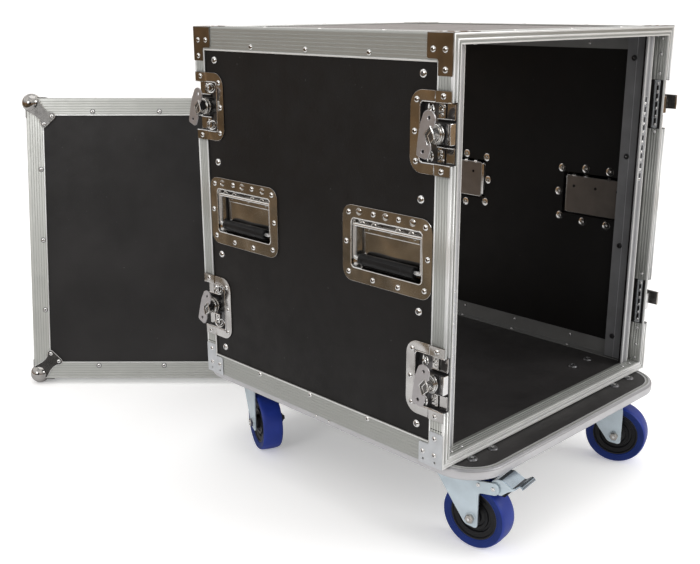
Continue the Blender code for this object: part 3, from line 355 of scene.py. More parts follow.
# Black for the rails' packing, and painted shade elsewhere: in slits, slots, gaps, cuts and dents.
BLACK_AND_PAINTED_SHADE = finish_of("black_and_painted_shade", (0.012, 0.011, 0.011), 0.6, 0.1, 60, 0.3, specular=0.2)
ZINC = finish_of("blue_zinc", (0.52, 0.60, 0.65), 0.34, 0.62, 28, 0.12, depth=0.0002)
DULL_ZINC = finish_of("dull_zinc", (0.50, 0.52, 0.54), 0.42, 0.6, 70, 0.07, depth=0.0002)
PEDAL = finish_of("bright_zinc", (0.40, 0.47, 0.53), 0.22, 0.92, 40, 0.12)

RUBBER = finish_of("black_rubber", (0.005, 0.005, 0.0055), 0.48, 0, 60, 0.15, 700, 0.0004, 0.22)
TYRE = finish_of("blue_tyre", (0.012, 0.030, 0.22), 0.44, 0, 40, 0.10, 800, 0.0003, 0.26)
NAVY = finish_of("navy_tyre_side", (0.004, 0.018, 0.125), 0.48, 0, 40, 0.12, 800, 0.0003, 0.22)
HUB = finish_of("black_nylon", (0.006, 0.006, 0.007), 0.34, 0, 50, 0.2, 500, 0.0003, 0.26)
HUB_RIM = finish_of("nylon_rim", (0.030, 0.030, 0.024), 0.45, 0, 50, 0.2, 500, 0.0003, 0.3)


# Places


def shift(x=0, y=0, z=0):
    return Matrix.Translation((x, y, z))


def turned(degrees, axis="Z"):
    return Matrix.Rotation(math.radians(degrees), 4, axis)


def facing(normal, at, turn=0):
    """Takes a shape that looks up Z to a point, where it looks along the normal."""
    look = Vector(normal).to_track_quat("Z", "Y").to_matrix().to_4x4()
    return Matrix.Translation(at) @ look @ turned(turn)


# Takes a shape drawn in X and Y to the plane of Y and Z, its Z looking along X
OUTWARD = Matrix(((0, 0, 1, 0), (1, 0, 0, 0), (0, 1, 0, 0), (0, 0, 0, 1)))
# The four corners of the body, each as a half turn of the front right one
CORNER_TURNS = {
    ("front", "right"): Matrix.Identity(4),
    ("rear", "left"): turned(180, "Z"),
    ("rear", "right"): turned(180, "X"),
    ("front", "left"): turned(180, "Y"),
}


# Shapes: each is a list of points, a list of faces and the numbers of the faces that are shaded flat

# Points that are closer than this are one point, and a run that is longer than the other is shaded flat.
TOUCHING = 0.001
WIDE_RUN = 2.51


def moved(shape, matrix):
    return [matrix @ point for point in shape[0]], shape[1], shape[2]


def arc(centre, radius, start, end, steps=6):
    turns = [math.radians(start + (end - start) * i / steps) for i in range(steps + 1)]
    return [(centre[0] + radius * math.cos(t), centre[1] + radius * math.sin(t)) for t in turns]


def circle(centre, radius, sides=12):
    return arc(centre, radius, 0, 360, sides)[:-1]


def ring(x, radius, count):
    """Points round the X axis."""
    return [(x, u, v) for u, v in circle((0, 0), radius, count)]


def rounded(half_u, half_v, radius, at=(0, 0), steps=6):
    """A rounded rectangle about a point."""
    outline = []
    for quarter, (u, v) in enumerate(((1, 1), (-1, 1), (-1, -1), (1, -1))):
        centre = (at[0] + u * (half_u - radius), at[1] + v * (half_v - radius))
        outline += arc(centre, radius, 90 * quarter, 90 * quarter + 90, steps)
    return outline


def rectangle(u0, u1, v0, v1):
    return [(u0, v0), (u1, v0), (u1, v1), (u0, v1)]


def mirrored(half):
    """A half outline and its mirror image across the first axis."""
    return half + [(u, -v) for u, v in reversed(half)]


def loft(rings, loop=False, cap=True):
    """Faces between closed rings of equal length; a loop also joins the last ring to the first."""
    points = [Vector(point) for points in rings for point in points]
    count, last = len(rings[0]), len(rings) - 1
    pairs = [(i, i + 1) for i in range(last)] + ([(last, 0)] if loop else [])
    faces = []
    for low, high in pairs:
        for i in range(count):
            j = (i + 1) % count
            faces.append([low * count + i, low * count + j, high * count + j, high * count + i])
    if cap and not loop:
        faces.append(list(reversed(range(count))))
        faces.append([last * count + i for i in range(count)])
    return points, faces, []


def lathe(profile, sides=16):
    """A shape turned about Z from (radius, height) points."""
    points, faces, rings = [], [], []
    for radius, height in profile:
        corners = circle((0, 0), radius, sides) if radius > TOUCHING else [(0, 0)]
        rings.append([len(points) + i for i in range(len(corners))])
        points += [Vector((u, v, height)) for u, v in corners]
    for low, high in zip(rings, rings[1:]):
        for i in range(sides):
            j = (i + 1) % sides
            corners = (low[i % len(low)], low[j % len(low)], high[j % len(high)], high[i % len(high)])
            faces.append(list(dict.fromkeys(corners)))
    return points, faces, []


def read_shape(bm):
    """A working mesh's points and faces; the mesh is freed."""
    points = [vertex.co.copy() for vertex in bm.verts]
    faces = [[vertex.index for vertex in face.verts] for face in bm.faces]
    bm.free()
    return points, faces


def new_curve(dimensions, lines, closed, depth, rounds):
    curve = bpy.data.curves.new("curve", "CURVE")
    curve.dimensions = dimensions
    curve.bevel_depth = depth
    curve.bevel_resolution = rounds
    for line in lines:
        spline = curve.splines.new("POLY")
        spline.points.add(len(line) - 1)
        for point, place in zip(spline.points, line):
            point.co = (*place, 1)
        spline.use_cyclic_u = closed
    return curve


def from_curve(curve):
    """The welded mesh of a curve, as points and faces."""
    obj = bpy.data.objects.new("curve", curve)
    mesh = bpy.data.meshes.new_from_object(obj)
    bm = bmesh.new()
    bm.from_mesh(mesh)
    bmesh.ops.remove_doubles(bm, verts=bm.verts, dist=TOUCHING)
    shape = read_shape(bm)
    bpy.data.objects.remove(obj)
    bpy.data.meshes.remove(mesh)
    bpy.data.curves.remove(curve)
    return shape


def tube(points, radius, closed=False, rounds=3):
    curve = new_curve("3D", [points], closed, radius, rounds)
    curve.use_fill_caps = not closed
    return *from_curve(curve), []


def plate(outline, thickness, bevel, low=0, holes=()):
    """A flat plate in X and Y with rounded edges, its underside at Z = low."""
    lines = [[(u, v, 0) for u, v in line] for line in (outline, *holes)]
    curve = new_curve("2D", lines, True, bevel, 1)
    curve.fill_mode = "BOTH"
    curve.extrude = thickness / 2 - bevel
    curve.offset = -bevel
    points, faces = from_curve(curve)
    # The two faces are flat; only the rounded edge is shaded smooth.
    heights = [[points[i].z for i in face] for face in faces]
    flats = [i for i, zs in enumerate(heights) if max(zs) - min(zs) < TOUCHING]
    return moved((points, faces, flats), shift(z=low + thickness / 2))


def sheet(outline, thickness, bevel, low, holes=()):
    """A plate in Y and Z, its underside at X = low."""
    return moved(plate(outline, thickness, bevel, low, holes), OUTWARD)


def slab(low, high, bevel):
    """A box with bevelled edges."""
    bm = bmesh.new()
    bmesh.ops.create_cube(bm, size=1)
    for vertex in bm.verts:
        vertex.co = [high[i] if vertex.co[i] > 0 else low[i] for i in range(3)]
    bmesh.ops.bevel(bm, geom=list(bm.edges), offset=bevel, segments=2, profile=0.6, affect="EDGES")
    flats = [face.index for face in bm.faces if max(abs(c) for c in face.normal) > 0.999]
    return *read_shape(bm), flats


def wide_runs(outline, sides):
    """The faces that a section's wide flats draw, with so many faces to each run."""
    runs = zip(outline, outline[1:] + outline[:1])
    wide = [i for i, (a, b) in enumerate(runs) if math.dist(a, b) > WIDE_RUN]
    return [i * sides + j for i in wide for j in range(sides)]


# For each way to draw an outline out: the axes of its two coordinates, and the way itself
DRAWN_ALONG = {
    "x": ((0, -1, 0), (0, 0, 1), (1, 0, 0)),
    "y": ((1, 0, 0), (0, 0, 1), (0, 1, 0)),
    "z": ((1, 0, 0), (0, 1, 0), (0, 0, 1)),
}


def prism(outline, start, end, along):
    """An outline drawn out straight along an axis."""
    first, second, way = (Vector(axis) for axis in DRAWN_ALONG[along])
    rings = [[way * at + first * u + second * v for u, v in outline] for at in (start, end)]
    points, faces, _ = loft(rings)
    return points, faces, wide_runs(outline, 1)


def mitred(profile, left, right, y_at):
    """A frame as tall as the body, of a section of (distance in, distance back, height off its face)."""
    rings = []
    for inset, back, _ in profile:
        x0, x1, z0, z1, y = left + inset, right - inset, inset, HEIGHT - inset, y_at(back)
        rings.append([(x0, y, z0), (x1, y, z0), (x1, y, z1), (x0, y, z1)])
    points, faces, _ = loft(rings, loop=True)
    return points, faces, wide_runs([(inset, back) for inset, back, _ in profile], 4)


def by_height(profile, base, groove=PAINTED_SHADE_GROOVE):
    """A finish for each face of a section: painted shade where it is sunk, a painted highlight where it is
    raised.
    """
    heights = [height for *_, height in profile]
    finishes = []
    for low, high in zip(heights, heights[1:] + heights[:1]):
        middle = (low + high) / 2
        if middle < -0.15:
            finishes += [groove] * len(base)
        elif middle > 0.25:
            finishes += [PAINTED_HIGHLIGHT_BEAD] * len(base)
        else:
            finishes += base
    return tuple(finishes)


class Piece:
    """Gathers shapes, each with its finish, into one mesh."""

    def __init__(self):
        self.points, self.faces, self.slots, self.finishes = [], [], [], []
        self.flats = set()

    def slot(self, finish):
        if finish not in self.finishes:
            self.finishes.append(finish)
        return self.finishes.index(finish)

    def add(self, shape, finish, *places):
        """Adds the shape at each place; a tuple of finishes is dealt out face by face."""
        finishes = finish if isinstance(finish, tuple) else (finish,)
        slots = [self.slot(each) for each in finishes]
        for place in places or (Matrix.Identity(4),):
            start = len(self.points)
            self.flats.update(len(self.faces) + i for i in shape[2])
            self.points += [place @ point for point in shape[0]]
            self.faces += [[start + i for i in face] for face in shape[1]]
            self.slots += [slots[i % len(slots)] for i in range(len(shape[1]))]
        return self

    def rivet(self, *places):
        return self.add(RIVET, BRIGHT, *places).add(RIVET_SLIT, BLACK_AND_PAINTED_SHADE, *places)

    def mesh(self, name, sharp=32):
        """The mesh in metres, smooth but for its sharp edges and its flat faces."""
        mesh = bpy.data.meshes.new(name)
        mesh.from_pydata([point * MM for point in self.points], [], self.faces)
        for finish in self.finishes:
            mesh.materials.append(finish)
        mesh.polygons.foreach_set("material_index", self.slots)
        mesh.shade_smooth()
        bm = bmesh.new()
        bm.from_mesh(mesh)
        bmesh.ops.recalc_face_normals(bm, faces=bm.faces)
        for edge in bm.edges:
            turn = math.degrees(edge.calc_face_angle(0))
            beside_flat = any(face.index in self.flats for face in edge.link_faces)
            edge.smooth = turn < (4 if beside_flat else sharp)
        bm.to_mesh(mesh)
        bm.free()
        return mesh


def in_metres(place):
    made = place.copy()
    made.translation *= MM
    return made


def show(name, mesh, body, place=CASE, stands_for=""):
    """Puts a piece in its place, on its body; it may stand for one of the frame's nodes."""
    obj = bpy.data.objects.new(name, mesh)
    bpy.context.scene.collection.objects.link(obj)
    obj.matrix_world = in_metres(place)
    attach(obj, body)
    if stands_for:
        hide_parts(stands_for)


def cut(mesh, cutter):
    """The mesh less the cutter's space, with its finishes kept."""
    scene = bpy.context.scene.collection.objects
    body, tool = bpy.data.objects.new("body", mesh), bpy.data.objects.new("tool", cutter)
    scene.link(body)
    scene.link(tool)
    modifier = body.modifiers.new("cut", "BOOLEAN")
    modifier.operation = "DIFFERENCE"
    modifier.solver = "EXACT"
    modifier.object = tool
    bpy.context.view_layer.update()
    made = bpy.data.meshes.new_from_object(body.evaluated_get(bpy.context.evaluated_depsgraph_get()))
    for obj in (body, tool):
        bpy.data.objects.remove(obj)
    return made


# Fasteners


def dome(radius, height, dimple):
    """A round head with a small dimple in its crown."""
    side = [(radius * u, height * v) for u, v in ((0.93, 0.45), (0.72, 0.82), (0.45, 1))]
    dip = [(dimple * 1.2, height), (dimple, height * 0.72), (0, height * 0.66)]
    return lathe([(radius, -0.4), (radius, 0.2), *side, *dip])


RIVET = dome(4.1, 2.1, 1.1)
# A rivet's slit is painted in shade.
RIVET_SLIT = moved(slab((-1.9, -0.55, 1.3), (1.9, 0.55, 2.25), 0.2), turned(-38))
SMALL_RIVET = dome(2.6, 1.4, 0.7)
SCREW = dome(6, 3.4, 2.2)
SCREW_SOCKET = lathe([(2.4, 1.8), (2.2, 3), (1.2, 3), (0, 2.2)], 6)
WASHER = lathe([(2.8, 0), (7.2, 0), (7.2, 0.7), (6.4, 1), (2.8, 1)], 20)
BOLT = lathe([(7.8, 0), (7.4, 1.2), (6, 2.4), (3.4, 3), (3, 2.2), (0, 2.2)], 20)
BOLT_SOCKET = lathe([(2.6, 2), (2.4, 2.7), (1.2, 2.7), (0, 2.4)], 6)
# These press a fastener flatter, where the case's own height leaves it little room.
FLATTER = Matrix.Diagonal((1, 1, 0.6, 1))
FLATTEST = Matrix.Diagonal((1, 1, 0.28, 1))


# Aluminium extrusions: a section's points also tell how high they stand off its face


def ribbed_face(length, grooves):
    """Across a face from its free edge to its corner, as (distance from the corner, height)."""
    bead = ((0, 0), (0.3, 0.6), (1, 0.8), (1.9, 0.6), (2.4, 0))
    points = [(length - back, height) for back, height in (*bead, (2.7, -0.35), (3.4, -0.35), (3.8, 0))]
    for at in grooves:
        points += [(at + 0.7, 0), (at + 0.3, -0.4), (at - 0.3, -0.4), (at - 0.7, 0)]
    return points


def angle_section():
    """A long edge's angle, as (distance in from the side, distance from the underside, height)."""
    face = ribbed_face(EDGE_FLANGE, (27, 22, 17, 12, 7))
    section = [(-height, u, height) for u, height in face]
    section += [(CORNER - a, CORNER - b, 0) for a, b in arc((0, 0), CORNER, 0, 90, 4)]
    section += [(u, -height, height) for u, height in reversed(face)]
    return section + [(EDGE_FLANGE, SKIN, 0), (SKIN, SKIN, 0), (SKIN, EDGE_FLANGE, 0)]


def end_section():
    """The end extrusion, as (distance in from the outside, distance back from the end, height)."""
    face = ribbed_face(FRAME_FLANGE, (19, 14.5, 10, 5.5))
    section = [(-height, u - GAP, height) for u, height in face]
    lip = ((0, 1.1), (0.2, 0.5), (0.7, 0.1), (1.4, 0), (2.2, 0.1), (2.7, 0.4), (2.9, 0.9))
    channel = ((3, 2.5), (6.5, 2.5))
    ridge = ((6.7, 2), (6.8, 0.7), (7.1, 0.3), (7.6, 0.1), (8.7, 0.1), (9.2, 0.3), (9.4, 0.8))
    groove = ((9.6, 1.5), (11.7, 1.5))
    inner_lip = ((11.9, 0.7), (12.3, 0.1), (13, 0), (13.7, 0.2), (14.1, 0.8))
    for points, height in ((lip, 1), (channel, 0), (ridge, 1), (groove, -1), (inner_lip, 1)):
        section += [(inset, back, height) for inset, back in points]
    sunk = FRAME_DEPTH - 0.7
    for at in (4, 8.5, 13, 17.5):
        section += [(FRAME_DEPTH, at - 1, 0), (sunk, at - 0.5, -1)]
        section += [(sunk, at + 0.4, -1), (FRAME_DEPTH, at + 0.9, 0)]
    hidden = ((FRAME_DEPTH, 23.6), (FRAME_DEPTH - 0.4, 24), (11.1, 24), (11.1, 3), (SKIN, 3))
    return section + [(inset, back, 0) for inset, back in (*hidden, (SKIN, FRAME_FLANGE - GAP))]


ANGLE = angle_section()
END_SECTION = end_section()


def make_edges():
    reach = HALF_DEPTH - FRAME_FLANGE - GAP
    finishes = by_height(ANGLE, [ALUMINIUM["y"]]) + (ALUMINIUM["y"],) * 2
    for side, out in SIDES.items():
        for level, (base, up) in LEVELS.items():
            outline = [(out * (HALF_WIDTH - inset), base + up * rise) for inset, rise, _ in ANGLE]
            piece = Piece().add(prism(outline, -reach, reach, "y"), finishes)
            z = HEIGHT - EDGE_ROW if level == "upper" else 30
            for y in EDGE_RIVETS:
                piece.rivet(facing((out, 0, 0), (out * HALF_WIDTH, y, z), -10 * out))
                if level == "upper":
                    piece.rivet(facing((0, 0, 1), (out * (HALF_WIDTH - EDGE_ROW), y, HEIGHT), 60) @ FLATTER)
            node = f"{level}_{side}_edge"
            show(f"{node}_finish", piece.mesh(node), "case", stands_for=node)


def latch_cutters(sign):
    """The space that the latch dishes take from an end frame."""
    piece = Piece()
    half, inner = MOUTH_HALF + 0.5, INNER_WALL - 0.15
    # The mouth is open to the outside; the inner flange is cut away behind its front lip.
    spaces = ((inner, HALF_WIDTH + 5, -5), (HALF_WIDTH - FRAME_DEPTH - 5, inner + 1, 3.4))
    for out in SIDES.values():
        for z in LATCH_HEIGHTS.values():
            for x0, x1, back in spaces:
                ys = (sign * (HALF_DEPTH - back), sign * (HALF_DEPTH - 30))
                outline = rectangle(out * x0, out * x1, *ys)
                piece.add(prism(outline, z - half, z + half, "z"), BLACK_AND_PAINTED_SHADE)
    return piece.mesh("latch_space")


# A corner brace on one face, as (distance back from the end, distance from the case's edge)
BRACE = [
    *arc((2.5, 49.5), 1.5, 180, 90, 2),
    *arc((22.5, 49.5), 1.5, 90, 0, 2),
    *arc((27, 34), 3, 180, 270, 3),
    *arc((39, 28), 3, 90, 0, 3),
    (42, 0),
    (1, 0),
]
BRACE_RIVETS = {
    "lower": ((34.4, 17.8), (14.4, 17.5), (14.4, 41.9)),
    "upper": ((32, 19.5), (13, 19.7), (12.4, 43.4)),
}
BRACE_HOLES = {"lower": ((34, 6.9), (13.2, 7)), "upper": ()}


def add_braces(piece, sign):
    for out in SIDES.values():
        face = shift(x=out * HALF_WIDTH) @ Matrix.Diagonal((out, 1, 1, 1)) @ OUTWARD
        for level, (base, up) in LEVELS.items():
            # The upper braces take the plate painted in shade.
            finish = BRACE_CHROME_PAINTED_SHADE if level == "upper" else DULL_ZINC
            outline = [(sign * (HALF_DEPTH - y), base + up * z) for y, z in BRACE]
            holes = [circle((sign * (HALF_DEPTH - y), base + z), 1.7) for y, z in BRACE_HOLES[level]]
            piece.add(moved(plate(outline, STEEL, 0.35, GAP, holes), face), finish)
            rivets = [(sign * (HALF_DEPTH - y), z) for y, z in BRACE_RIVETS[level]]
            for y, z in rivets:
                piece.rivet(facing((out, 0, 0), (out * (HALF_WIDTH + 1.4), y, base + up * z), -10 * out))
            if level == "upper":
                outline = [(out * (HALF_WIDTH - z), sign * (HALF_DEPTH - y)) for y, z in BRACE]
                piece.add(plate(outline, 0.6, 0.2, HEIGHT + 0.2), finish)
                for y, z in rivets:
                    piece.rivet(facing((0, 0, 1), (out * (HALF_WIDTH - z), y, HEIGHT + 0.8), 50) @ FLATTEST)
                bend = [(0, 0), *arc((0, 0), BRACE_LIFT + GAP, 0, 90, 5)]
                bend = [(out * (HALF_WIDTH - 0.3 + a), HEIGHT - 1 + b) for a, b in bend]
                piece.add(prism(bend, sign * (HALF_DEPTH - 1), sign * (HALF_DEPTH - 42), "y"), finish)


def add_dashes(piece, sign):
    """The row of short pressed marks above each lower brace, painted dark as shade in the dents."""
    for out in SIDES.values():
        for i in range(5):
            x, y = out * HALF_WIDTH, sign * (HALF_DEPTH - 4.5 - 4.2 * i)
            piece.add(slab((x - 0.4, y - 1.5, 54), (x + 0.4, y + 1.5, 54.9), 0.1), BLACK_AND_PAINTED_SHADE)


def end_finishes():
    """The sill's front takes the painted highlight all over, and the head's inner face painted shade."""
    finishes = list(by_height(END_SECTION, FRAME_FINISH))
    for i, (inset, back, _) in enumerate(END_SECTION):
        if inset > 0 and back < 2.6:
            finishes[4 * i] = PAINTED_HIGHLIGHT_BEAD
        if inset > FRAME_DEPTH - 1 and back > 2.6:
            finishes[4 * i + 2] = SHADED
    return tuple(finishes)


def make_frames():
    wall_rows = (549, 525, 495, 404, 169, 74, 44, 20)
    for end, sign in ENDS.items():
        shape = mitred(END_SECTION, -HALF_WIDTH, HALF_WIDTH, lambda back: sign * (HALF_DEPTH - back))
        mesh = cut(Piece().add(shape, end_finishes()).mesh("frame_extrusion"), latch_cutters(sign))
        show(f"{end}_frame_finish", mesh, "case", stands_for=f"{end}_frame")
        piece = Piece()
        add_braces(piece, sign)
        add_dashes(piece, sign)
        y = sign * (HALF_DEPTH - 10.7)
        for out in SIDES.values():
            for z in wall_rows:
                piece.add(SMALL_RIVET, PALE, facing((-out, 0, 0), (out * (HALF_WIDTH - FRAME_DEPTH), y, z)))
            for x in (236, 214):
                piece.add(SMALL_RIVET, PALE, facing((0, 0, 1), (out * x, y, FRAME_DEPTH)))
                piece.add(SMALL_RIVET, PALE, facing((0, 0, -1), (out * x, y, HEIGHT - FRAME_DEPTH)))
        for x in (-130, 0, 130):
            piece.rivet(facing((0, 0, 1), (x, sign * (HALF_DEPTH - 12.2), HEIGHT), 50) @ FLATTER)
        show(f"{end}_corner_braces", piece.mesh("braces"), "case")


# Latches, built about the drum's axis: X out of the side, the case's end at -Y


def round_end(start, reach, half, corner, steps):
    """Out along one side, round two corners and back along the other."""
    outline = [(start, -half)] + arc((reach - corner, corner - half), corner, -90, 0, steps)
    return outline + arc((reach - corner, half - corner), corner, 0, 90, steps) + [(start, half)]


def latch_mesh():
    piece = Piece()
    edge, bend, mouth = 1.5 - LATCH_SETBACK, LATCH_BEND, MOUTH_HALF
    # The flange lies on the end frame, and steps down to the panel past the bend.
    step = [(GAP, bend - 0.4), (GAP + STEEL, bend - 0.4), (0, bend + 2.6), (-STEEL, bend + 2.6)]
    for sign in (-1, 1):
        over_frame = rectangle(edge, bend, sign * LATCH_HALF, sign * mouth)
        piece.add(sheet(over_frame, STEEL, 0.3, GAP), CHROME)
        piece.add(prism(step, sign * mouth, sign * LATCH_HALF, "z"), CHROME)
    over_panel = round_end(bend + 2, LATCH_REACH, LATCH_HALF, LATCH_CORNER, 8)
    inside = round_end(bend + 2, MOUTH_REACH, mouth, MOUTH_CORNER, 5)[::-1]
    piece.add(sheet(over_panel + inside, STEEL, 0.35, -STEEL), CHROME)
    # A lip runs round the recess in bright plate, a painted highlight on its rolled edge.
    lip = [(edge, mouth), *inside, (edge, -mouth)]
    piece.add(tube([(0.9 if u < bend else -0.3, u, v) for u, v in lip], 0.9), BRIGHT)
    # The recess's walls and floor are painted in shade.
    floor = rectangle(edge, MOUTH_REACH + STEEL, -mouth - STEEL, mouth + STEEL)
    wall = [(edge, -mouth), *floor, (edge, mouth), (MOUTH_REACH, mouth), (MOUTH_REACH, -mouth)]
    piece.add(sheet(wall, GAP - LATCH_FLOOR, 0.2, LATCH_FLOOR), GUNMETAL_AND_PAINTED_SHADE)
    piece.add(sheet(floor, 1, 0.2, LATCH_FLOOR - 1), GUNMETAL_AND_PAINTED_SHADE)
    add_latch_works(piece, edge)
    for x, rivets in ((-0.1, LATCH_RIVETS), (GAP + 1.1, ((15, 46), (14, -45.5)))):
        for back, z in rivets:
            piece.rivet(facing((1, 0, 0), (x, back - LATCH_SETBACK, z), -10))
    return piece.mesh("latch")


def add_latch_works(piece, edge):
    """The hinge leaves, the draw arm, the drum and the spring coils in the latch's recess."""
    floor, start = LATCH_FLOOR, edge + 0.6
    for sign in (-1, 1):
        for y0, y1, inner, thickness in ((start, -9.6, 17.5, 2), (-7, 4, 16.5, 2.4)):
            leaf = rectangle(y0, y1, sign * inner, sign * 36.5)
            piece.add(sheet(leaf, thickness, 0.4, floor), CHROME)
        middle = sign * 27
        # A slot of painted shade between the leaves.
        piece.add(slab((floor - 0.2, -9.6, middle - 10), (floor + 0.5, -7, middle + 10), 0.1), BLACK_AND_PAINTED_SHADE)
        for y, z in ((-2, 22.5), (-2, 28), (-4.8, 33.5)):
            piece.add(SMALL_RIVET, BRIGHT, facing((1, 0, 0), (floor + 2.3, y, sign * z)))
        # A deep slot beside the arm, painted in shade, with a bright lip.
        middle = sign * 15.6
        piece.add(slab((floor - 0.1, start, middle - 2), (floor + 0.6, 6, middle + 2), 0.1), BLACK_AND_PAINTED_SHADE)
        lip = [(floor + 2.2, edge + 1, sign * 17.4), (floor + 2.6, 5, sign * 17.4)]
        piece.add(tube(lip, 0.8), BRIGHT)
        for y, radius, lean in ((14, 6.6, 56), (9, 5.6, 32)):
            coil = tube(ring(0, radius, 22), 1.2, True)
            piece.add(coil, BRIGHT, shift(-1, y, sign * 28.5) @ turned(lean))
    # Inside the case the dish's back shows in the frame's gap, with a row of small pressed marks; its dark
    # bands and marks are painted shade and its bright band a painted highlight.
    bands = ((-22.5, -14.6, BLACK_AND_PAINTED_SHADE), (-14.2, -5.4, DULL_ZINC), (-5, -2.6, BRIGHT), (-2.2, 4, BLACK_AND_PAINTED_SHADE))
    for y0, y1, finish in bands:
        piece.add(slab((floor - 1.7, y0, -37.5), (floor - 0.9, y1, 37.5), 0.2), finish)
    mark = slab((floor - 2.2, -12.2, -4.6), (floor - 1.5, -8.4, 3.6), 0.3)
    glints = [facing((-1, 0, 0), (floor - 2.1, -10.9, 12.8 * i - 31.6)) for i in range(6)]
    piece.add(mark, BLACK_AND_PAINTED_SHADE, *(shift(z=12.8 * i - 25.6) for i in range(5)))
    piece.add(SMALL_RIVET, BRIGHT, *glints)
    # The arm: a ribbed block with a bright edge at the case's end, its rib's groove painted in shade.
    for (y0, z0), high, bevel, finish in (
        ((-20.5, -13.4), (-0.6, 8, 13), 0.6, GUNMETAL_AND_PAINTED_SHADE),
        ((start, -13.4), (0.4, -20.2, 13), 0.5, BRIGHT),
        ((-18.6, -12.6), (-0.1, -16.6, 12.2), 0.3, CHROME),
        ((-12.6, -13), (0, -11.4, 12.6), 0.2, BLACK_AND_PAINTED_SHADE),
    ):
        piece.add(slab((floor, y0, z0), high, bevel), finish)
    # The drum's rings step up to its neck.
    drum = [(12.5, -9), (12.5, 0), (12, 0.8), (10.9, 1), (10.8, 3.4)]
    drum += [(11.6, 4), (11.6, 6.6), (10.8, 7.4), (8.8, 7.6), (0, 7.7)]
    piece.add(moved(lathe(drum, 32), OUTWARD), STUD)
    piece.add(tube(ring(5.3, 11.7, 32), 0.8, True), BRIGHT)
    cam = arc((0, 0), 14, 100, 250, 14) + arc((0, 0), 10.5, 250, 100, 14)
    piece.add(sheet(cam, 2.2, 0.6, 1.4), BRIGHT)


def wing_mesh(folded):
    """The butterfly wing: a plate with a holed lobe at each end, notched round a sunk cup."""
    outline = arc((9.2, 25.2), 4.6, 0, 80, 5) + arc((-0.2, 23.6), 6.6, 95, 165, 5)
    outline += [(-8.2, 16), (-6.8, 10), (-0.8, 0.5), (-6.5, -8.5), (-9.4, -13)]
    outline += arc((1.4, -19.6), 10.8, 158, 330, 12) + [(14, -10), (14.4, 4), (14.2, 14)]
    holes = [circle((4, 21.5), 2.4), circle((1, -21), 2.4)]
    piece = Piece().add(sheet(outline, 2.2, 0.7, WING_BACK, holes), WING)
    if folded:
        # A folded tongue stiffens the lobe's back; its face is painted in shade, its top edge in a pale
        # painted highlight.
        front = WING_BACK + 0.4
        piece.add(slab((WING_BACK - 3.6, -8, 9), (front, 14, 30.2), 0.8), PRESSING_PAINTED_SHADE_AND_REFLECTION)
        piece.add(slab((WING_BACK - 3.8, -8, 29.6), (front, 14, 30.4), 0.3), STUD)
    # The cup joins the plate to the drum; its inside is painted in shade.
    outside = [(8.6, 7.8), (9.6, 8.4), (9.8, 16.2), (10.4, 18.4), (9.8, 19.4)]
    inside = [(9.8, 19.4), (8.8, 19.2), (7.8, 18.7), (0, 18.6)]
    seat = shift(y=-4) @ Matrix.Diagonal((1, 0.86, 1.24, 1)) @ OUTWARD
    piece.add(moved(lathe(outside, 4), seat), CHROME).add(moved(lathe(inside, 4), seat), PRESSING_PAINTED_SHADE_AND_REFLECTION)
    corners = ((1, 0), (0.1, 1), (-0.9, 0.2), (-0.5, -0.5), (0.1, -1))
    piece.add(tube([(18.9, 8.2 * u - 4, 11.8 * v) for u, v in corners], 0.85, True), BRIGHT)
    piece.add(tube([(13.6, -6.4, 2.2), (13.6, -2.4, -2.6)], 1.2), STUD)
    # A painted highlight along the notch's edge.
    notch = ((-6.2, 9.3), (-0.6, 0.5), (-6.2, -8.3))
    piece.add(tube([(WING_BACK + 1.9, u, v) for u, v in notch], 0.8), BRIGHT)
    return piece.mesh("latch_wing")


def make_latches():
    dish = latch_mesh()
    wings = {folded: wing_mesh(folded) for folded in (False, True)}
    for (end, side), turn in CORNER_TURNS.items():
        half_turn = 180 if end == "rear" else 0
        rest = turned(WING_REST[end, side] + half_turn, "X")
        wing = wings[(end, side) == ("front", "right")]
        for level, z in LATCH_HEIGHTS.items():
            name = f"{end}_{level}_{side}"
            at = CASE @ shift(SIDES[side] * HALF_WIDTH, ENDS[end] * (HALF_DEPTH - LATCH_SETBACK), z) @ turn
            show(f"{name}_latch", dish, "case", at, f"{name}_latch_dish")
            show(f"{name}_wing", wing, f"{name}_wing", at @ rest, f"{name}_latch_wing")


# Handles, built about the middle of their flange: X out of the side, the panel's face at X = 0


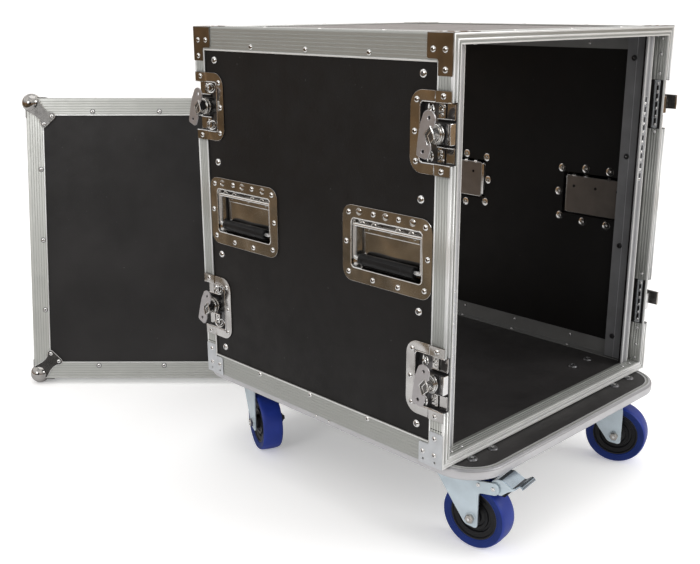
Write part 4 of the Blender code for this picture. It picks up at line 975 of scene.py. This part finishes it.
def handle_mesh():
    piece = Piece()
    recess = rounded(*RECESS_HALF, MOUTH_CORNER, RECESS_AT)
    flange = rounded(*HANDLE_HALF, HANDLE_CORNER, steps=8)
    piece.add(sheet(flange, 1.5, 0.5, GAP, [recess]), CHROME)
    # A rolled lip round the recess, in bright plate as a painted highlight.
    piece.add(tube([(1.6, y, z) for y, z in recess], 0.9, True), BRIGHT)
    # The pan narrows towards its floor.
    rings = []
    for x, half, corner in (
        (1, RECESS_HALF, MOUTH_CORNER),
        (-1, RECESS_HALF, MOUTH_CORNER),
        (-3, (RECESS_HALF[0] - 1, RECESS_HALF[1] - 0.6), MOUTH_CORNER),
        (PAN_FLOOR + 1, (PAN_HALF[0] + 1, PAN_HALF[1] + 0.6), MOUTH_CORNER),
        (PAN_FLOOR, PAN_HALF, MOUTH_CORNER - 1),
    ):
        rings.append([(x, y, z) for y, z in rounded(*half, corner, RECESS_AT)])
    piece.add(loft(rings, cap=False), CHROME)
    floor = rounded(*PAN_HALF, MOUTH_CORNER - 1, RECESS_AT)
    piece.add(sheet(floor, STEEL, 0.3, PAN_FLOOR - 1), CHROME)
    # The back plate hangs from a strip with three small rivets.
    strip = rounded(50, 6, 1.5, (0, 22))
    piece.add(sheet(strip, 1, 0.3, PAN_FLOOR + 0.2), CHROME)
    # A painted highlight along the strip's lower edge.
    piece.add(tube([(PAN_FLOOR + 0.7, y, 15.4) for y in (-50, 50)], 0.5), BRIGHT)
    rivets = (-42, 0, 42)
    piece.add(SMALL_RIVET, STUD, *(facing((1, 0, 0), (PAN_FLOOR + 1.1, y, 21.5)) for y in rivets))
    # A slot of painted shadow lies along the foot of the pan, above a strip of painted shade on its bottom
    # wall, and clips hold the bail's rod along its head.
    slot = rounded(50, 3, 1.4, (0, -25.5))
    piece.add(sheet(slot, 0.6, 0.15, PAN_FLOOR + 0.15), BLACK_AND_PAINTED_SHADE)
    piece.add(slab((PAN_FLOOR + 1, -50, -31.6), (-2.5, 50, -30.9), 0.2), BLACK_AND_PAINTED_SHADE)
    rise, slope = 28, 0.204
    for y in CLIPS:
        clip = [(slope * (v - rise) - 2.5, u, v) for u, v in arc((y, rise), 5, 0, 180, 10)]
        piece.add(tube(clip, 1.1), STUD)
    add_handle_fasteners(piece)
    # Inside the case the pan's back shows as a plain plate, its rod's knuckles along the head.
    back = rounded(59.5, PAN_HALF[1] + 1, 3, (-2.5, RECESS_AT[1]))
    piece.add(sheet(back, 1.6, 0.4, PAN_FLOOR - 2.6), BACK_PLATE)
    piece.add(tube([(PAN_FLOOR - 2.4, y, z) for y, z in back], 0.5, True), BRIGHT)
    knuckle = lathe([(0, -3.6), (3.2, -3.4), (3.4, 3.4), (0, 3.6)], 18)
    piece.add(knuckle, BRIGHT, *(shift(PAN_FLOOR + 0.2, y, 33) @ turned(90, "X") for y in CLIPS))
    piece.add(SMALL_RIVET, BLACK_AND_PAINTED_SHADE, *(facing((-1, 0, 0), (PAN_FLOOR - 2.5, y, 15)) for y in rivets))
    return piece.mesh("handle")


def add_handle_fasteners(piece):
    """The rivets round the flange, and the row along its head where each second one is ringed."""
    for y, z in HANDLE_RIVETS:
        piece.rivet(*(facing((1, 0, 0), (1.7, sign * y, z), -10) for sign in (-1, 1)))
    ringed = lathe([(5.2, 0), (5.2, 0.5), (4.6, 0.8), (4.2, 0.5), (3.2, 0.9), (1.6, 1.5), (0, 1.6)], 20)
    places = [facing((1, 0, 0), (1.7, y, HEAD_ROW_RISE), -10) for y in HEAD_ROW]
    piece.rivet(*places[1::2]).add(ringed, STUD, *places[::2])


def bail_mesh():
    """The sprung wire bail, about its pivot rod."""
    half = RECESS_HALF[0] - 0.4
    piece = Piece().add(tube([(0, -half, 0), (0, half, 0)], BAIL_RADIUS, rounds=4), BRIGHT)
    arm = [(BAIL_ARM, 0), *arc((BAIL_ARM - BAIL_BEND, BAIL_BEND - BAIL_DROP), BAIL_BEND, 0, -90, 6)]
    for sign in (-1, 1):
        path = [(0, sign * y, z) for y, z in (*arm, (44, -BAIL_DROP))]
        piece.add(tube(path, BAIL_RADIUS, rounds=4), PALE)
    return piece.mesh("bail")


def grip_mesh():
    """A rubber grip with rounded ends and a sunk stadium on its face."""
    end = ((BAIL_RADIUS + GAP, 0.4), (6.6, 0), (7.6, 0.6), (GRIP_RADIUS, 1.8))
    profile = mirrored([(radius, back - GRIP_HALF) for radius, back in end])
    piece = Piece().add(moved(lathe(profile, 32), shift(z=-BAIL_DROP) @ turned(90, "X")), RUBBER)
    stadium = rounded(37, 4.4, 4.3)
    path = [(math.sqrt(GRIP_RADIUS**2 - z**2) - 0.1, y - 6, z - BAIL_DROP) for y, z in stadium]
    return piece.add(tube(path, 0.55, True), HUB).mesh("grip")


def make_handles():
    dish, bail, grip = handle_mesh(), bail_mesh(), grip_mesh()
    for side, out in SIDES.items():
        turn = turned(0 if out > 0 else 180)
        for end in ENDS:
            name = f"{end}_{side}_handle"
            middle, pivot = middle_of(f"{name}_dish"), middle_of(f"{name}_grip") + Vector((0, 0, BAIL_DROP))
            at = shift(MIDDLE.x + out * (HALF_WIDTH - PANEL_SEAT), middle.y, middle.z)
            show(f"{name}_plate", dish, "case", at @ turn, f"{name}_dish")
            show(f"{name}_wire", bail, name, shift(*pivot) @ turn, f"{name}_bail")
            show(f"{name}_rubber", grip, name, shift(*pivot) @ turn, f"{name}_grip")


# Rack rails


def rail_mesh(bottom, top):
    """The front right rail: a flange with a threaded strip, a web painted in shade and the packing behind
    it.
    """
    face_y, inner, outer, hole_x = 19 - HALF_DEPTH, 222.8, 242.3, 232.55
    first = (bottom + top - RACK_UNITS * RACK_UNIT) / 2
    shares = (1 / 7, 1 / 2, 6 / 7)
    rows = [first + RACK_UNIT * (unit + share) for unit in THREADED_UNITS for share in shares]
    holes = [rounded(2.9, 4.6, 1.4, (hole_x, row), 3) for row in rows]
    flange = plate(rectangle(inner, outer, bottom, top), 2.5, 0.35, -2.5, holes)
    piece = Piece().add(moved(flange, shift(y=face_y) @ turned(90, "X")), RAIL)
    # A groove runs up between two lips that carry the bead's painted highlight; the strip's threads glint
    # at the foot of each of its holes.
    strip = [first + RACK_UNIT * unit for unit in (THREADED_UNITS[0], THREADED_UNITS[-1] + 1)]
    for low, high in ((bottom, strip[0]), (strip[1], top)):
        piece.add(slab((hole_x - 2.6, face_y - 0.3, low), (hole_x + 2.2, face_y, high), 0.1), TRIM_BAND)
    for x in (inner + 1.6, outer - 1.6):
        piece.add(tube([(x, face_y, bottom), (x, face_y, top)], 1.2), PAINTED_HIGHLIGHT_BEAD)
    glints = [facing((0, -1, 0), (hole_x - 1.8, face_y, row - 5.4)) for row in rows]
    piece.add(SMALL_RIVET, BRIGHT, *glints)
    web = outer - 2.5
    for x0, x1, y0, y1, bevel, finish in (
        (inner + 1, outer - 3, 5, 6, 0.2, BLACK_AND_PAINTED_SHADE),
        (web, outer, 1.5, 43, 0.4, RAIL_WEB_PAINTED_SHADE),
        (web - 0.5, web, 25.4, 26.2, 0.1, RAIL),
        (outer, INNER_WALL - GAP, 8, 36, 0.5, BLACK_AND_PAINTED_SHADE),
    ):
        piece.add(slab((x0, face_y + y0, bottom), (x1, face_y + y1, top), bevel), finish)
    head = lathe([(4.6, 0), (4.6, 1.6), (3.6, 2.6), (1.8, 2.6), (1.6, 1.4), (0, 1.4)], 18)
    for z in RAIL_SCREWS:
        place = facing((-1, 0, 0), (web, face_y + 30, z))
        piece.add(head, BLACK_SCREW, place).add(RIVET_SLIT, BRIGHT, place @ shift(z=0.4))
    return piece.mesh("rack_rail")


def make_rails():
    rail = rail_mesh(FRAME_DEPTH + GAP, HEIGHT - FRAME_DEPTH - GAP)
    up, down = shift(z=HEIGHT / 2), shift(z=-HEIGHT / 2)
    for (end, side), turn in CORNER_TURNS.items():
        name = f"{end}_{side}"
        show(f"{name}_rail_finish", rail, "case", CASE @ up @ turn @ down, f"{name}_rack_rail")


# Fasteners and angles that the body's panels carry


def inner_rivets(sign):
    """Where the latches' and handles' rivets come through the side panel, as (y, z)."""
    places = [(sign * (HALF_DEPTH - y), at + z) for at in LATCH_HEIGHTS.values() for y, z in LATCH_RIVETS]
    rim = [(way * y, z) for y, z in HANDLE_RIVETS for way in (-1, 1)]
    head = [(y, HEAD_ROW_RISE) for y in HEAD_ROW[1::2]]
    return places + [(sign * HANDLE_FROM_MIDDLE + y, HEIGHT / 2 + z) for y, z in rim + head]


def make_panel_hardware():
    leg, foot, reach = 26, 15.6, HALF_DEPTH - 26.5
    angle = ((0, 0), (foot, 0), (foot, STEEL), (STEEL, STEEL), (STEEL, leg), (0, leg))
    for side, out in SIDES.items():
        screws, inside = Piece(), Piece()
        for sign in ENDS.values():
            for z in RAIL_SCREWS:
                at = (out * (HALF_WIDTH - PANEL_SEAT), sign * RAIL_FROM_MIDDLE, z)
                place = facing((out, 0, 0), at, 20)
                screws.add(SCREW, BRIGHT, place).add(SCREW_SOCKET, GUNMETAL_AND_PAINTED_SHADE, place)
        show(f"{side}_rail_screws", screws.mesh("rail_screws"), "case")
        wall = out * INNER_WALL
        for base, up in ((WALL, 1), (HEIGHT - WALL, -1)):
            outline = [(wall - out * u, base + up * v) for u, v in angle]
            # The inner angles are painted in shade.
            inside.add(prism(outline, -reach, reach, "y"), SHADED)
            for y in EDGE_RIVETS:
                on_wall = facing((-out, 0, 0), (wall - out * STEEL, y, base + up * 18))
                on_foot = facing((0, 0, up), (wall - out * 9, y, base + up * STEEL))
                inside.add(SMALL_RIVET, PALE, on_wall, on_foot)
        for sign in ENDS.values():
            places = [facing((-out, 0, 0), (wall, y, z)) for y, z in inner_rivets(sign)]
            inside.add(WASHER, BRIGHT, *places).add(SMALL_RIVET, BRIGHT, *places)
        show(f"{side}_inner_angles", inside.mesh("inner_angles"), "case")


# The castor board


def make_board():
    low, high = box("board_trim")
    half = (high - low) / 2
    corner = 62
    # Half of the trim's section, as (distance in from its widest point, drop from its top, height).
    upper = ((11, 0.9, 0), (10.8, 0.1, 0), (9, 0, 0), (8.6, 0.9, -1), (6, 1, -1), (5.6, 0, 0))
    upper += ((3, 0.2, 0), (1.2, 1.4, 0), (0.3, 3.2, 0), (0, 5.6, 0))
    section = [(inset, half.z - drop, height) for inset, drop, height in upper]
    section += [(inset, -z, height) for inset, z, height in reversed(section)]
    section += [(2.2, 1.1 - half.z, 0), (2.2, half.z - 1.1, 0)]
    rings = []
    for inset, z, _ in section:
        outline = rounded(half.x - inset, half.y - inset, corner - inset, steps=14)
        rings.append([(x, y, z) for x, y in outline])
    count = len(outline)
    finishes = by_height(section, [LIP] * count)
    # Two of the runs make the band round the trim's upper edge.
    finishes = finishes[: 6 * count] + (TRIM_BAND,) * (2 * count) + finishes[8 * count :]
    piece = Piece().add(loft(rings, loop=True), finishes)
    piece.add(SMALL_RIVET, BRIGHT, *(facing((-1, 0, 0), (0.1 - half.x, y, 0)) for y in (1.6, -27.3)))
    place = shift(*middle_of("board_trim"))
    show("board_trim_finish", piece.mesh("board_trim"), "case", place, "board_trim")
    bolts = Piece()
    deck, floor = box("castor_board")[1].z, front_low.z + WALL
    for end, along in ENDS.items():
        for side in SIDES:
            centre = castor_at(f"{end}_{side}")
            for x in (centre.x - BOLT_AT[0], centre.x + BOLT_AT[0]):
                outer = facing((0, 0, 1), (x, centre.y + along * BOLT_AT[1], deck), 20)
                inner = facing((0, 0, 1), (x, centre.y - along * BOLT_AT[1], floor), 50)
                bolts.add(BOLT, GUNMETAL_AND_PAINTED_SHADE, outer, inner).add(BOLT_SOCKET, BRIGHT, outer, inner)
    show("castor_bolts", bolts.mesh("castor_bolts"), "case", Matrix.Identity(4))


# Castors, built with the wheel trailing to -Y and the swivel axis at X = Y = 0


def castor_at(name):
    """The castor's swivel axis, at the floor."""
    return middle_of(f"{name}_castor_plate").xy.to_3d()


def castor_plate_mesh(top):
    bolts = [(x, y) for x in (-BOLT_AT[0], BOLT_AT[0]) for y in (-BOLT_AT[1], BOLT_AT[1])]
    holes = [circle(at, 4.2, 14) for at in bolts]
    piece = Piece().add(plate(rounded(34, 52, 5), 3, 0.6, top - 3, holes), ZINC)
    race = [(0, -13), (26, -13), (28.5, -12.6), (30, -11)]
    race += [(30, -8), (31.5, -6), (32.5, -3), (0, -3)]
    piece.add(lathe(race, 36), ZINC, shift(z=top))
    nut = lathe([(0, -10), (6, -10), (7, -9), (7, -3), (0, -3)], 6)
    piece.add(nut, DULL_ZINC, *(shift(x, y, top) for x, y in bolts))
    return piece.mesh("castor_plate")


def fork_mesh(top, braked):
    """The swivelling fork: two tapered cheeks, a dished crown and the axle bolt."""
    inside, steel, crown = 19.5, 3, top - 13.3
    outside, deck = inside + steel, crown - 6
    outline = [(-29, deck), (-28.5, deck - 6), (-21, 99), (3, 66)]
    outline += arc((31, 50), 13, 205, 262, 5) + arc((39.5, 41.5), 5.5, 270, 360, 4)
    if braked:
        outline += arc((50, 88), 5, 180, 100, 4) + arc((67.5, 105.5), 9.5, -75, 80, 8)
        outline += [(50, 112), (46, deck)]
    else:
        outline += [(45, 92), (43, deck)]
    cheek = moved(plate(outline, steel, 0.8), Matrix.Diagonal((1, -1, 1, 1)) @ OUTWARD)
    piece = Piece().add(cheek, ZINC, shift(x=-outside), shift(x=inside))
    left, right = (facing((way, 0, 0), (way * outside, -CASTOR_TRAIL, WHEEL_RADIUS), 10) for way in (-1, 1))
    piece.add(lathe([(8.4, 0), (8.4, 1), (7.8, 1.5), (6, 1.5)], 24), ZINC, left, right)
    head = lathe([(7, 1.5), (7, 5.4), (6, 6.4), (0, 6.4)], 6)
    piece.add(head, STUD, left).add(BOLT_SOCKET, BRIGHT, left @ shift(z=4.4))
    if braked:
        pin = lathe([(3.2, -0.4), (3.2, 0.7), (2.5, 1.5), (1.5, 1.5), (1.2, 0.8), (0, 0.8)], 20)
        pins = [(way, back, z) for way in (-1, 1) for back, z in ((44, 105), (67.5, 105.5))]
        piece.add(pin, BRIGHT, *(facing((way, 0, 0), (way * outside, -back, z)) for way, back, z in pins))
    dish = [(0, -9), (24.5, -9), (24.5, -6.5), (27, -6), (30.5, -2.5), (29.5, 0), (0, 0)]
    piece.add(lathe(dish, 36), ZINC, shift(z=crown))
    piece.add(slab((-outside, -44, deck - 3), (outside, 28.5, deck), 0.9), ZINC)
    nut = lathe([(7.4, 1.5), (7.4, 8), (6.4, 9), (4.2, 9), (4, 11.5), (0, 11.9)], 6)
    piece.add(nut, BLACK_SCREW, right)
    axle = moved(lathe([(5.9, -20), (5.9, 20)], 20), OUTWARD)
    piece.add(axle, GUNMETAL_AND_PAINTED_SHADE, shift(y=-CASTOR_TRAIL, z=WHEEL_RADIUS))
    return piece.mesh("castor_fork")


def wheel_mesh():
    """A blue elastic tyre on a black nylon hub with concentric steps, about its axle along X."""
    tread = [(47.6, 16.9), (48.6, 15.6), (49.3, 13.4), (49.8, 9.5), (50, 5)]
    side = [(36.6, 9), (36.8, 14.4), (37.6, 15.4), (39, 15.6)]
    side += [(39.6, 15.1), (41, 15.4), (46.4, 17), (47.6, 16.9)]
    hub = [(6.3, 18.3), (11.6, 18.3), (12.4, 17.5), (12.6, 13), (17, 11), (17.6, 12.4)]
    hub += [(22, 12.9), (22.8, 10.6), (26, 9.6), (26.8, 11.6), (33.4, 12.6), (34.6, 14.4)]
    hub += [(36, 14.2), (36.8, 12.5), (37, 8)]
    piece, sides = Piece(), 64
    for sign in (-1, 1):
        piece.add(loft([ring(sign * x, radius, sides) for radius, x in side], cap=False), NAVY)
        piece.add(tube(ring(sign * 13.6, 36.4, sides), 0.7, True, 2), HUB_RIM)
    piece.add(loft([ring(x, radius, sides) for radius, x in mirrored(tread)], cap=False), TYRE)
    piece.add(loft([ring(x, radius, sides) for radius, x in mirrored(hub)], loop=True), HUB)
    return piece.mesh("castor_wheel")


def pedal_mesh():
    """The brake's foot lever, about its pivot: a trough between two cheeks, its outer lip turned up."""
    half = 18
    top = [(-2, 11), (5, 14.8), (11, 15.4), (17, 12.4), (27.5, 7.8)]
    top += [(30, 8.2), (34.5, 12.2), (38, 14.6), (41, 14), (43.5, 10.8)]
    under = [(42, 9.6), (40, 12), (38, 12.4), (35.6, 10.4), (30.6, 5.6)]
    under += [(27.5, 5.4), (16, 10), (10.6, 13), (5.6, 12.4), (-1, 8.8)]
    piece = Piece().add(prism(top + under, -half, half, "x"), PEDAL)
    cheek = [(-3, 10.4), (5, 14.2), (11, 14.8), (17, 11.8), (27.5, 7.2), (32, 9.4), (30.5, 5.4)]
    cheek += [(21, 0.6), (12, -7.4), (8, -8.6), (2, -5.6), (-4, -5), (-6, 0), (-5.6, 6)]
    for sign in (-1, 1):
        piece.add(prism(cheek, sign * (half - 1), sign * (half + 1.2), "x"), ZINC)
    # Painted shade: the fold's shadow and the dark bands along the lip.
    for u, v, wide in ((28.7, 7.9, 1.2), (35.9, 13, 0.5), (42.2, 12.4, 0.6)):
        piece.add(slab((1 - half, -u - wide, v - 0.7), (half - 1, wide - u, v + 0.4), 0.3), GUNMETAL_AND_PAINTED_SHADE)
    pad = [(6, 6), (18, 6), (19, -6), (14, -11.4), (8, -10.4), (5, -5)]
    piece.add(prism(pad, -15, 15, "x"), RUBBER)
    barrel = lathe([(0, -18.8), (3.6, -18.8), (3.6, 18.8), (0, 18.8)], 20)
    return piece.add(moved(barrel, OUTWARD), ZINC).mesh("brake_pedal")


def make_castors():
    top = box("front_left_castor_plate")[1].z
    plate_made, wheel, pedal = castor_plate_mesh(top), wheel_mesh(), pedal_mesh()
    forks = {braked: fork_mesh(top, braked) for braked in (False, True)}
    pivot = shift(y=-67.5, z=top - 24)
    for name, heading in CASTOR_HEADING.items():
        at = shift(*castor_at(name))
        turn = at @ turned(heading)
        show(f"{name}_plate_finish", plate_made, "case", at, f"{name}_castor_plate")
        show(f"{name}_fork_finish", forks[name in BRAKED], f"{name}_castor", turn, f"{name}_castor_fork")
        axle = turn @ shift(y=-CASTOR_TRAIL, z=WHEEL_RADIUS)
        show(f"{name}_tyre_and_hub", wheel, f"{name}_wheel", axle, f"{name}_castor_wheel")
        if name in BRAKED:
            show(f"{name}_pedal_finish", pedal, f"{name}_brake", turn @ pivot, f"{name}_brake_pedal")


# The lid, in its own frame: its outer face at Y = 0 looking to -Y, its left lower corner at X = Z = 0


def lid_place():
    """The lid's place, from its heading, its lean and the box of its tray."""
    to_rim = LID_DEPTH - BALL_INSET
    lean = math.asin(BALL_RADIUS / math.hypot(to_rim, BALL_INSET)) - math.atan2(BALL_INSET, to_rim)
    turn = turned(LID_HEADING) @ Matrix.Rotation(-lean, 4, "X")
    xs = (PANEL_SEAT, 2 * HALF_WIDTH - PANEL_SEAT)
    ys = (PANEL_SEAT, LID_DEPTH - 3.3)
    zs = (PANEL_SEAT, HEIGHT - PANEL_SEAT)
    corners = [turn @ Vector((x, y, z)) for x in xs for y in ys for z in zs]
    lowest = Vector([min(corner[i] for corner in corners) for i in range(3)])
    return Matrix.Translation(box("lid_panel")[0] - lowest) @ turn


def ball_corner(piece, x, z):
    """A pressed ball, a waisted leg over the lid's face and a tab on each of its two sides."""
    out_x, out_z = (1 if x > 0 else -1), (1 if z > 0 else -1)
    centre = Vector((x - out_x * BALL_INSET, BALL_INSET, z - out_z * BALL_INSET))
    ball = arc((0, 0), BALL_RADIUS - 0.25, -90, 90, 18)
    # The ball, leg and tabs are painted dark for the dark reflection they catch, and the leg's bright
    # outline is a painted highlight.
    piece.add(lathe(ball, 32), CHROME_PAINTED_DARK_REFLECTION, Matrix.Translation(centre))
    flank = [(6, 17), (14, 14.5), (24, 11.8), (33, 11.4), (39, 12.8), (43.5, 15.4)]
    outline = mirrored(flank + arc((48.6, 11.8), 6.2, 115, 0, 6))
    along, out = Vector((-out_x, 0, -out_z)).normalized(), Vector((0, -1, 0))
    basis = Matrix((along, out.cross(along), out)).transposed().to_4x4()
    at = shift(centre.x, -GAP, centre.z) @ basis
    piece.add(plate(outline, 1.4, 0.5), PRESSING_PAINTED_SHADE_AND_REFLECTION, at)
    piece.add(tube([(u, v, 1.3) for u, v in outline], 0.5, rounds=2), BRIGHT, at)
    piece.rivet(*(at @ shift(48.5, v, 1.3) for v in (-11, 11)))
    tab = plate(rounded(14, 14, 4), STEEL, 0.35)
    for normal, back_x, back_z in (((out_x, 0, 0), 0, -out_z), ((0, 0, out_z), -out_x, 0)):
        middle = Vector((x + 26 * back_x, 16, z + 26 * back_z)) + Vector(normal) * GAP
        place = facing(normal, middle)
        piece.add(tab, PRESSING_PAINTED_SHADE_AND_REFLECTION, place).rivet(place @ shift(z=1.1))


def make_lid():
    width, side_row = 2 * HALF_WIDTH, 22
    # The face's angle is the body's long edge, laid with its side along the lid's face.
    section = [(rise, inset, height) for inset, rise, height in ANGLE]
    finishes = by_height(section, [LID_ALUMINIUM_PAINTED_LIGHT] * 4, LID_PAINTED_SHADE_GROOVE)
    piece = Piece().add(mitred(section, 0, width, lambda back: back), finishes)
    finishes = by_height(END_SECTION, [LID_ALUMINIUM_PAINTED_LIGHT] * 4, LID_PAINTED_SHADE_GROOVE)
    piece.add(mitred(END_SECTION, 0, width, lambda back: LID_DEPTH - back * LID_RIM_SHARE), finishes)
    for x in (0, width):
        for z in (0, HEIGHT):
            ball_corner(piece, x, z)
    ringed = lathe([(3.6, 0.5), (5, 0.5), (5.4, 0.1), (5.4, -0.3)], 20)
    for share in (0.25, 0.5, 0.75):
        x, z = width * share, HEIGHT * share
        face = [(x, 0, EDGE_ROW), (x, 0, HEIGHT - EDGE_ROW), (EDGE_ROW, 0, z), (width - EDGE_ROW, 0, z)]
        places = [facing((0, -1, 0), at) for at in face]
        # Each rivet on the face sits in a ring of painted shade.
        piece.rivet(*places).add(ringed, SHADED, *places)
        piece.rivet(*(facing((0, 0, up), (x, side_row, at)) for at, up in ((0, -1), (HEIGHT, 1))))
        piece.rivet(*(facing((out, 0, 0), (at, side_row, z)) for at, out in ((0, -1), (width, 1))))
    mesh = piece.mesh("lid_frame")
    mesh.transform(in_metres(lid_place()))
    show("lid_frame_finish", mesh, "lid", Matrix.Identity(4), "lid_frame")


# The studio


def dress_frame_nodes():
    """The panels and the board keep their solids, and take the laminate."""
    for name, finish in {
        "left_panel": LAMINATE,
        "right_panel": LAMINATE,
        "top_panel": TOP_LAMINATE,
        "bottom_panel": DECK_LAMINATE,
        "castor_board": DECK_LAMINATE,
        "lid_panel": LID_LAMINATE,
    }.items():
        materials = frame["nodes"][name].data.materials
        materials.clear()
        materials.append(finish)


def stand(name, data, place):
    """Puts a thing of the studio in its place, which is in millimetres."""
    obj = bpy.data.objects.new(name, data)
    bpy.context.scene.collection.objects.link(obj)
    obj.matrix_world = in_metres(place)
    return obj


def card(name, outline, finish, place):
    """A flat sheet that shows only in reflections."""
    shape = [Vector((x, y, 0)) for x, y in outline], [[0, 1, 2, 3]], []
    obj = stand(name, Piece().add(shape, finish).mesh(name), place)
    obj.visible_camera = False
    obj.visible_diffuse = False
    obj.visible_shadow = False
    return obj


def make_floor():
    """A pale floor that curves up far away, and two sheets that only the bright metal sees."""
    pale = finish_of("pale_floor", (0.90, 0.90, 0.90), 0.8, 0, clouds=2, contrast=0.005, specular=0.1)
    shader = pale.node_tree.nodes["Principled BSDF"]
    shader.inputs["Emission Color"].default_value = (1, 1, 1, 1)
    shader.inputs["Emission Strength"].default_value = 0.28
    bowl = [(0, 0), (150e3, 0), (220e3, 8e3), (260e3, 40e3)]
    mesh = Piece().add(lathe(bowl, 96), pale).mesh("floor", sharp=80)
    white = finish_of("white_sheet", (0.85, 0.85, 0.86), 0.8, 0, clouds=2, contrast=0.005, specular=0.1)
    dark = finish_of("dark_card", (0.03, 0.028, 0.026), 0.8, 0, clouds=2, contrast=0.02, specular=0.1)
    middle = Matrix.Translation(MIDDLE)
    sheet_made = card("white_sheet", rectangle(-920, 1600, -2000, 3000), white, middle @ shift(z=-0.1))
    behind = middle @ facing((0.93, 0.37, 0), (-4600, -1900, 1100))
    card_made = card("dark_card", rectangle(-2000, 2000, -1400, 1400), dark, behind)
    floor = stand("floor", mesh, shift(z=-0.2))
    floor.visible_glossy = False


def make_world():
    """White overhead, and warm and dim about the horizon and below, where only reflections reach."""
    world = bpy.data.worlds.new("studio")
    bpy.context.scene.world = world
    world.use_nodes = True
    sky = Wiring(world.node_tree)
    place = sky.node("TexCoord", "Generated")
    rise = sky.node("SeparateXYZ", "Z", Vector=place)
    colour = sky.ramp(
        sky.node("MapRange", "Result", Value=rise, From_Min=-1),
        (0, (0.07, 0.06, 0.05)),
        (0.38, (0.20, 0.155, 0.105)),
        (0.46, (0.31, 0.195, 0.10)),
        (0.53, (0.34, 0.205, 0.11)),
        (0.58, (0.60, 0.58, 0.57)),
        (0.68, (1, 1, 1)),
        (1, (1, 1, 1)),
    )
    # The room's soft patches, which the bright metal picks up.
    patches = sky.node("TexNoise", "Fac", Vector=place, Scale=5, Detail=2)
    shades = sky.ramp(patches, (0.36, (0.50, 0.52, 0.55)), (0.62, (1.25, 1.2, 1.15)))
    room = sky.tree.nodes["Background"]
    sky.feed(room, {"Color": sky.mix("MULTIPLY", 1, colour, shades)})
    # The camera itself sees plain white.
    plain = sky.node("Background", "Background", Color=(1, 1, 1, 1))
    chosen = sky.node("MixShader", "Shader", Fac=sky.node("LightPath", "Is Camera Ray"))
    for socket, shader in zip(chosen.node.inputs[1:], (room.outputs["Background"], plain)):
        sky.tree.links.new(shader, socket)
    sky.feed(sky.tree.nodes["World Output"], {"Surface": chosen})


def area_light(name, at, size, power):
    """A rectangular light that looks at the case."""
    light = bpy.data.lights.new(name, "AREA")
    light.shape = "RECTANGLE"
    light.size, light.size_y = (edge * MM for edge in size)
    light.energy = power
    look = (Vector((MIDDLE.x, MIDDLE.y, 400)) - Vector(at)).to_track_quat("-Z", "Y")
    stand(name, light, shift(*at) @ look.to_matrix().to_4x4())


def make_lights():
    area_light("key", (-3400, -600, 1500), (1200, 1200), 22)
    area_light("front_right", (1600, -3200, 1900), (1800, 2000), 45)
    area_light("overhead", (200, 300, 3200), (2400, 2400), 16)


# The camera: its place is from the middle of the body, at the floor
CAMERA_AT = (-1155.1, -989.6, 742.1)
CAMERA_AZIMUTH, CAMERA_ELEVATION, CAMERA_ROLL = -44.480, 16.259, -0.076
FOCAL_PIXELS, IMAGE_WIDTH, SENSOR = 944.6, 700, 36


def make_camera():
    camera = bpy.data.cameras.new("camera")
    camera.sensor_width = SENSOR
    camera.lens = FOCAL_PIXELS / IMAGE_WIDTH * SENSOR
    look = turned(CAMERA_AZIMUTH) @ turned(90 - CAMERA_ELEVATION, "X") @ turned(CAMERA_ROLL)
    at = Matrix.Translation(MIDDLE) @ shift(*CAMERA_AT)
    bpy.context.scene.camera = stand("camera", camera, at @ look)


dress_frame_nodes()
make_edges()
make_frames()
make_latches()
make_handles()
make_rails()
make_panel_hardware()
make_board()
make_castors()
make_lid()
make_floor()
make_world()
make_lights()
make_camera()
bpy.context.scene.view_settings.view_transform = "Standard"
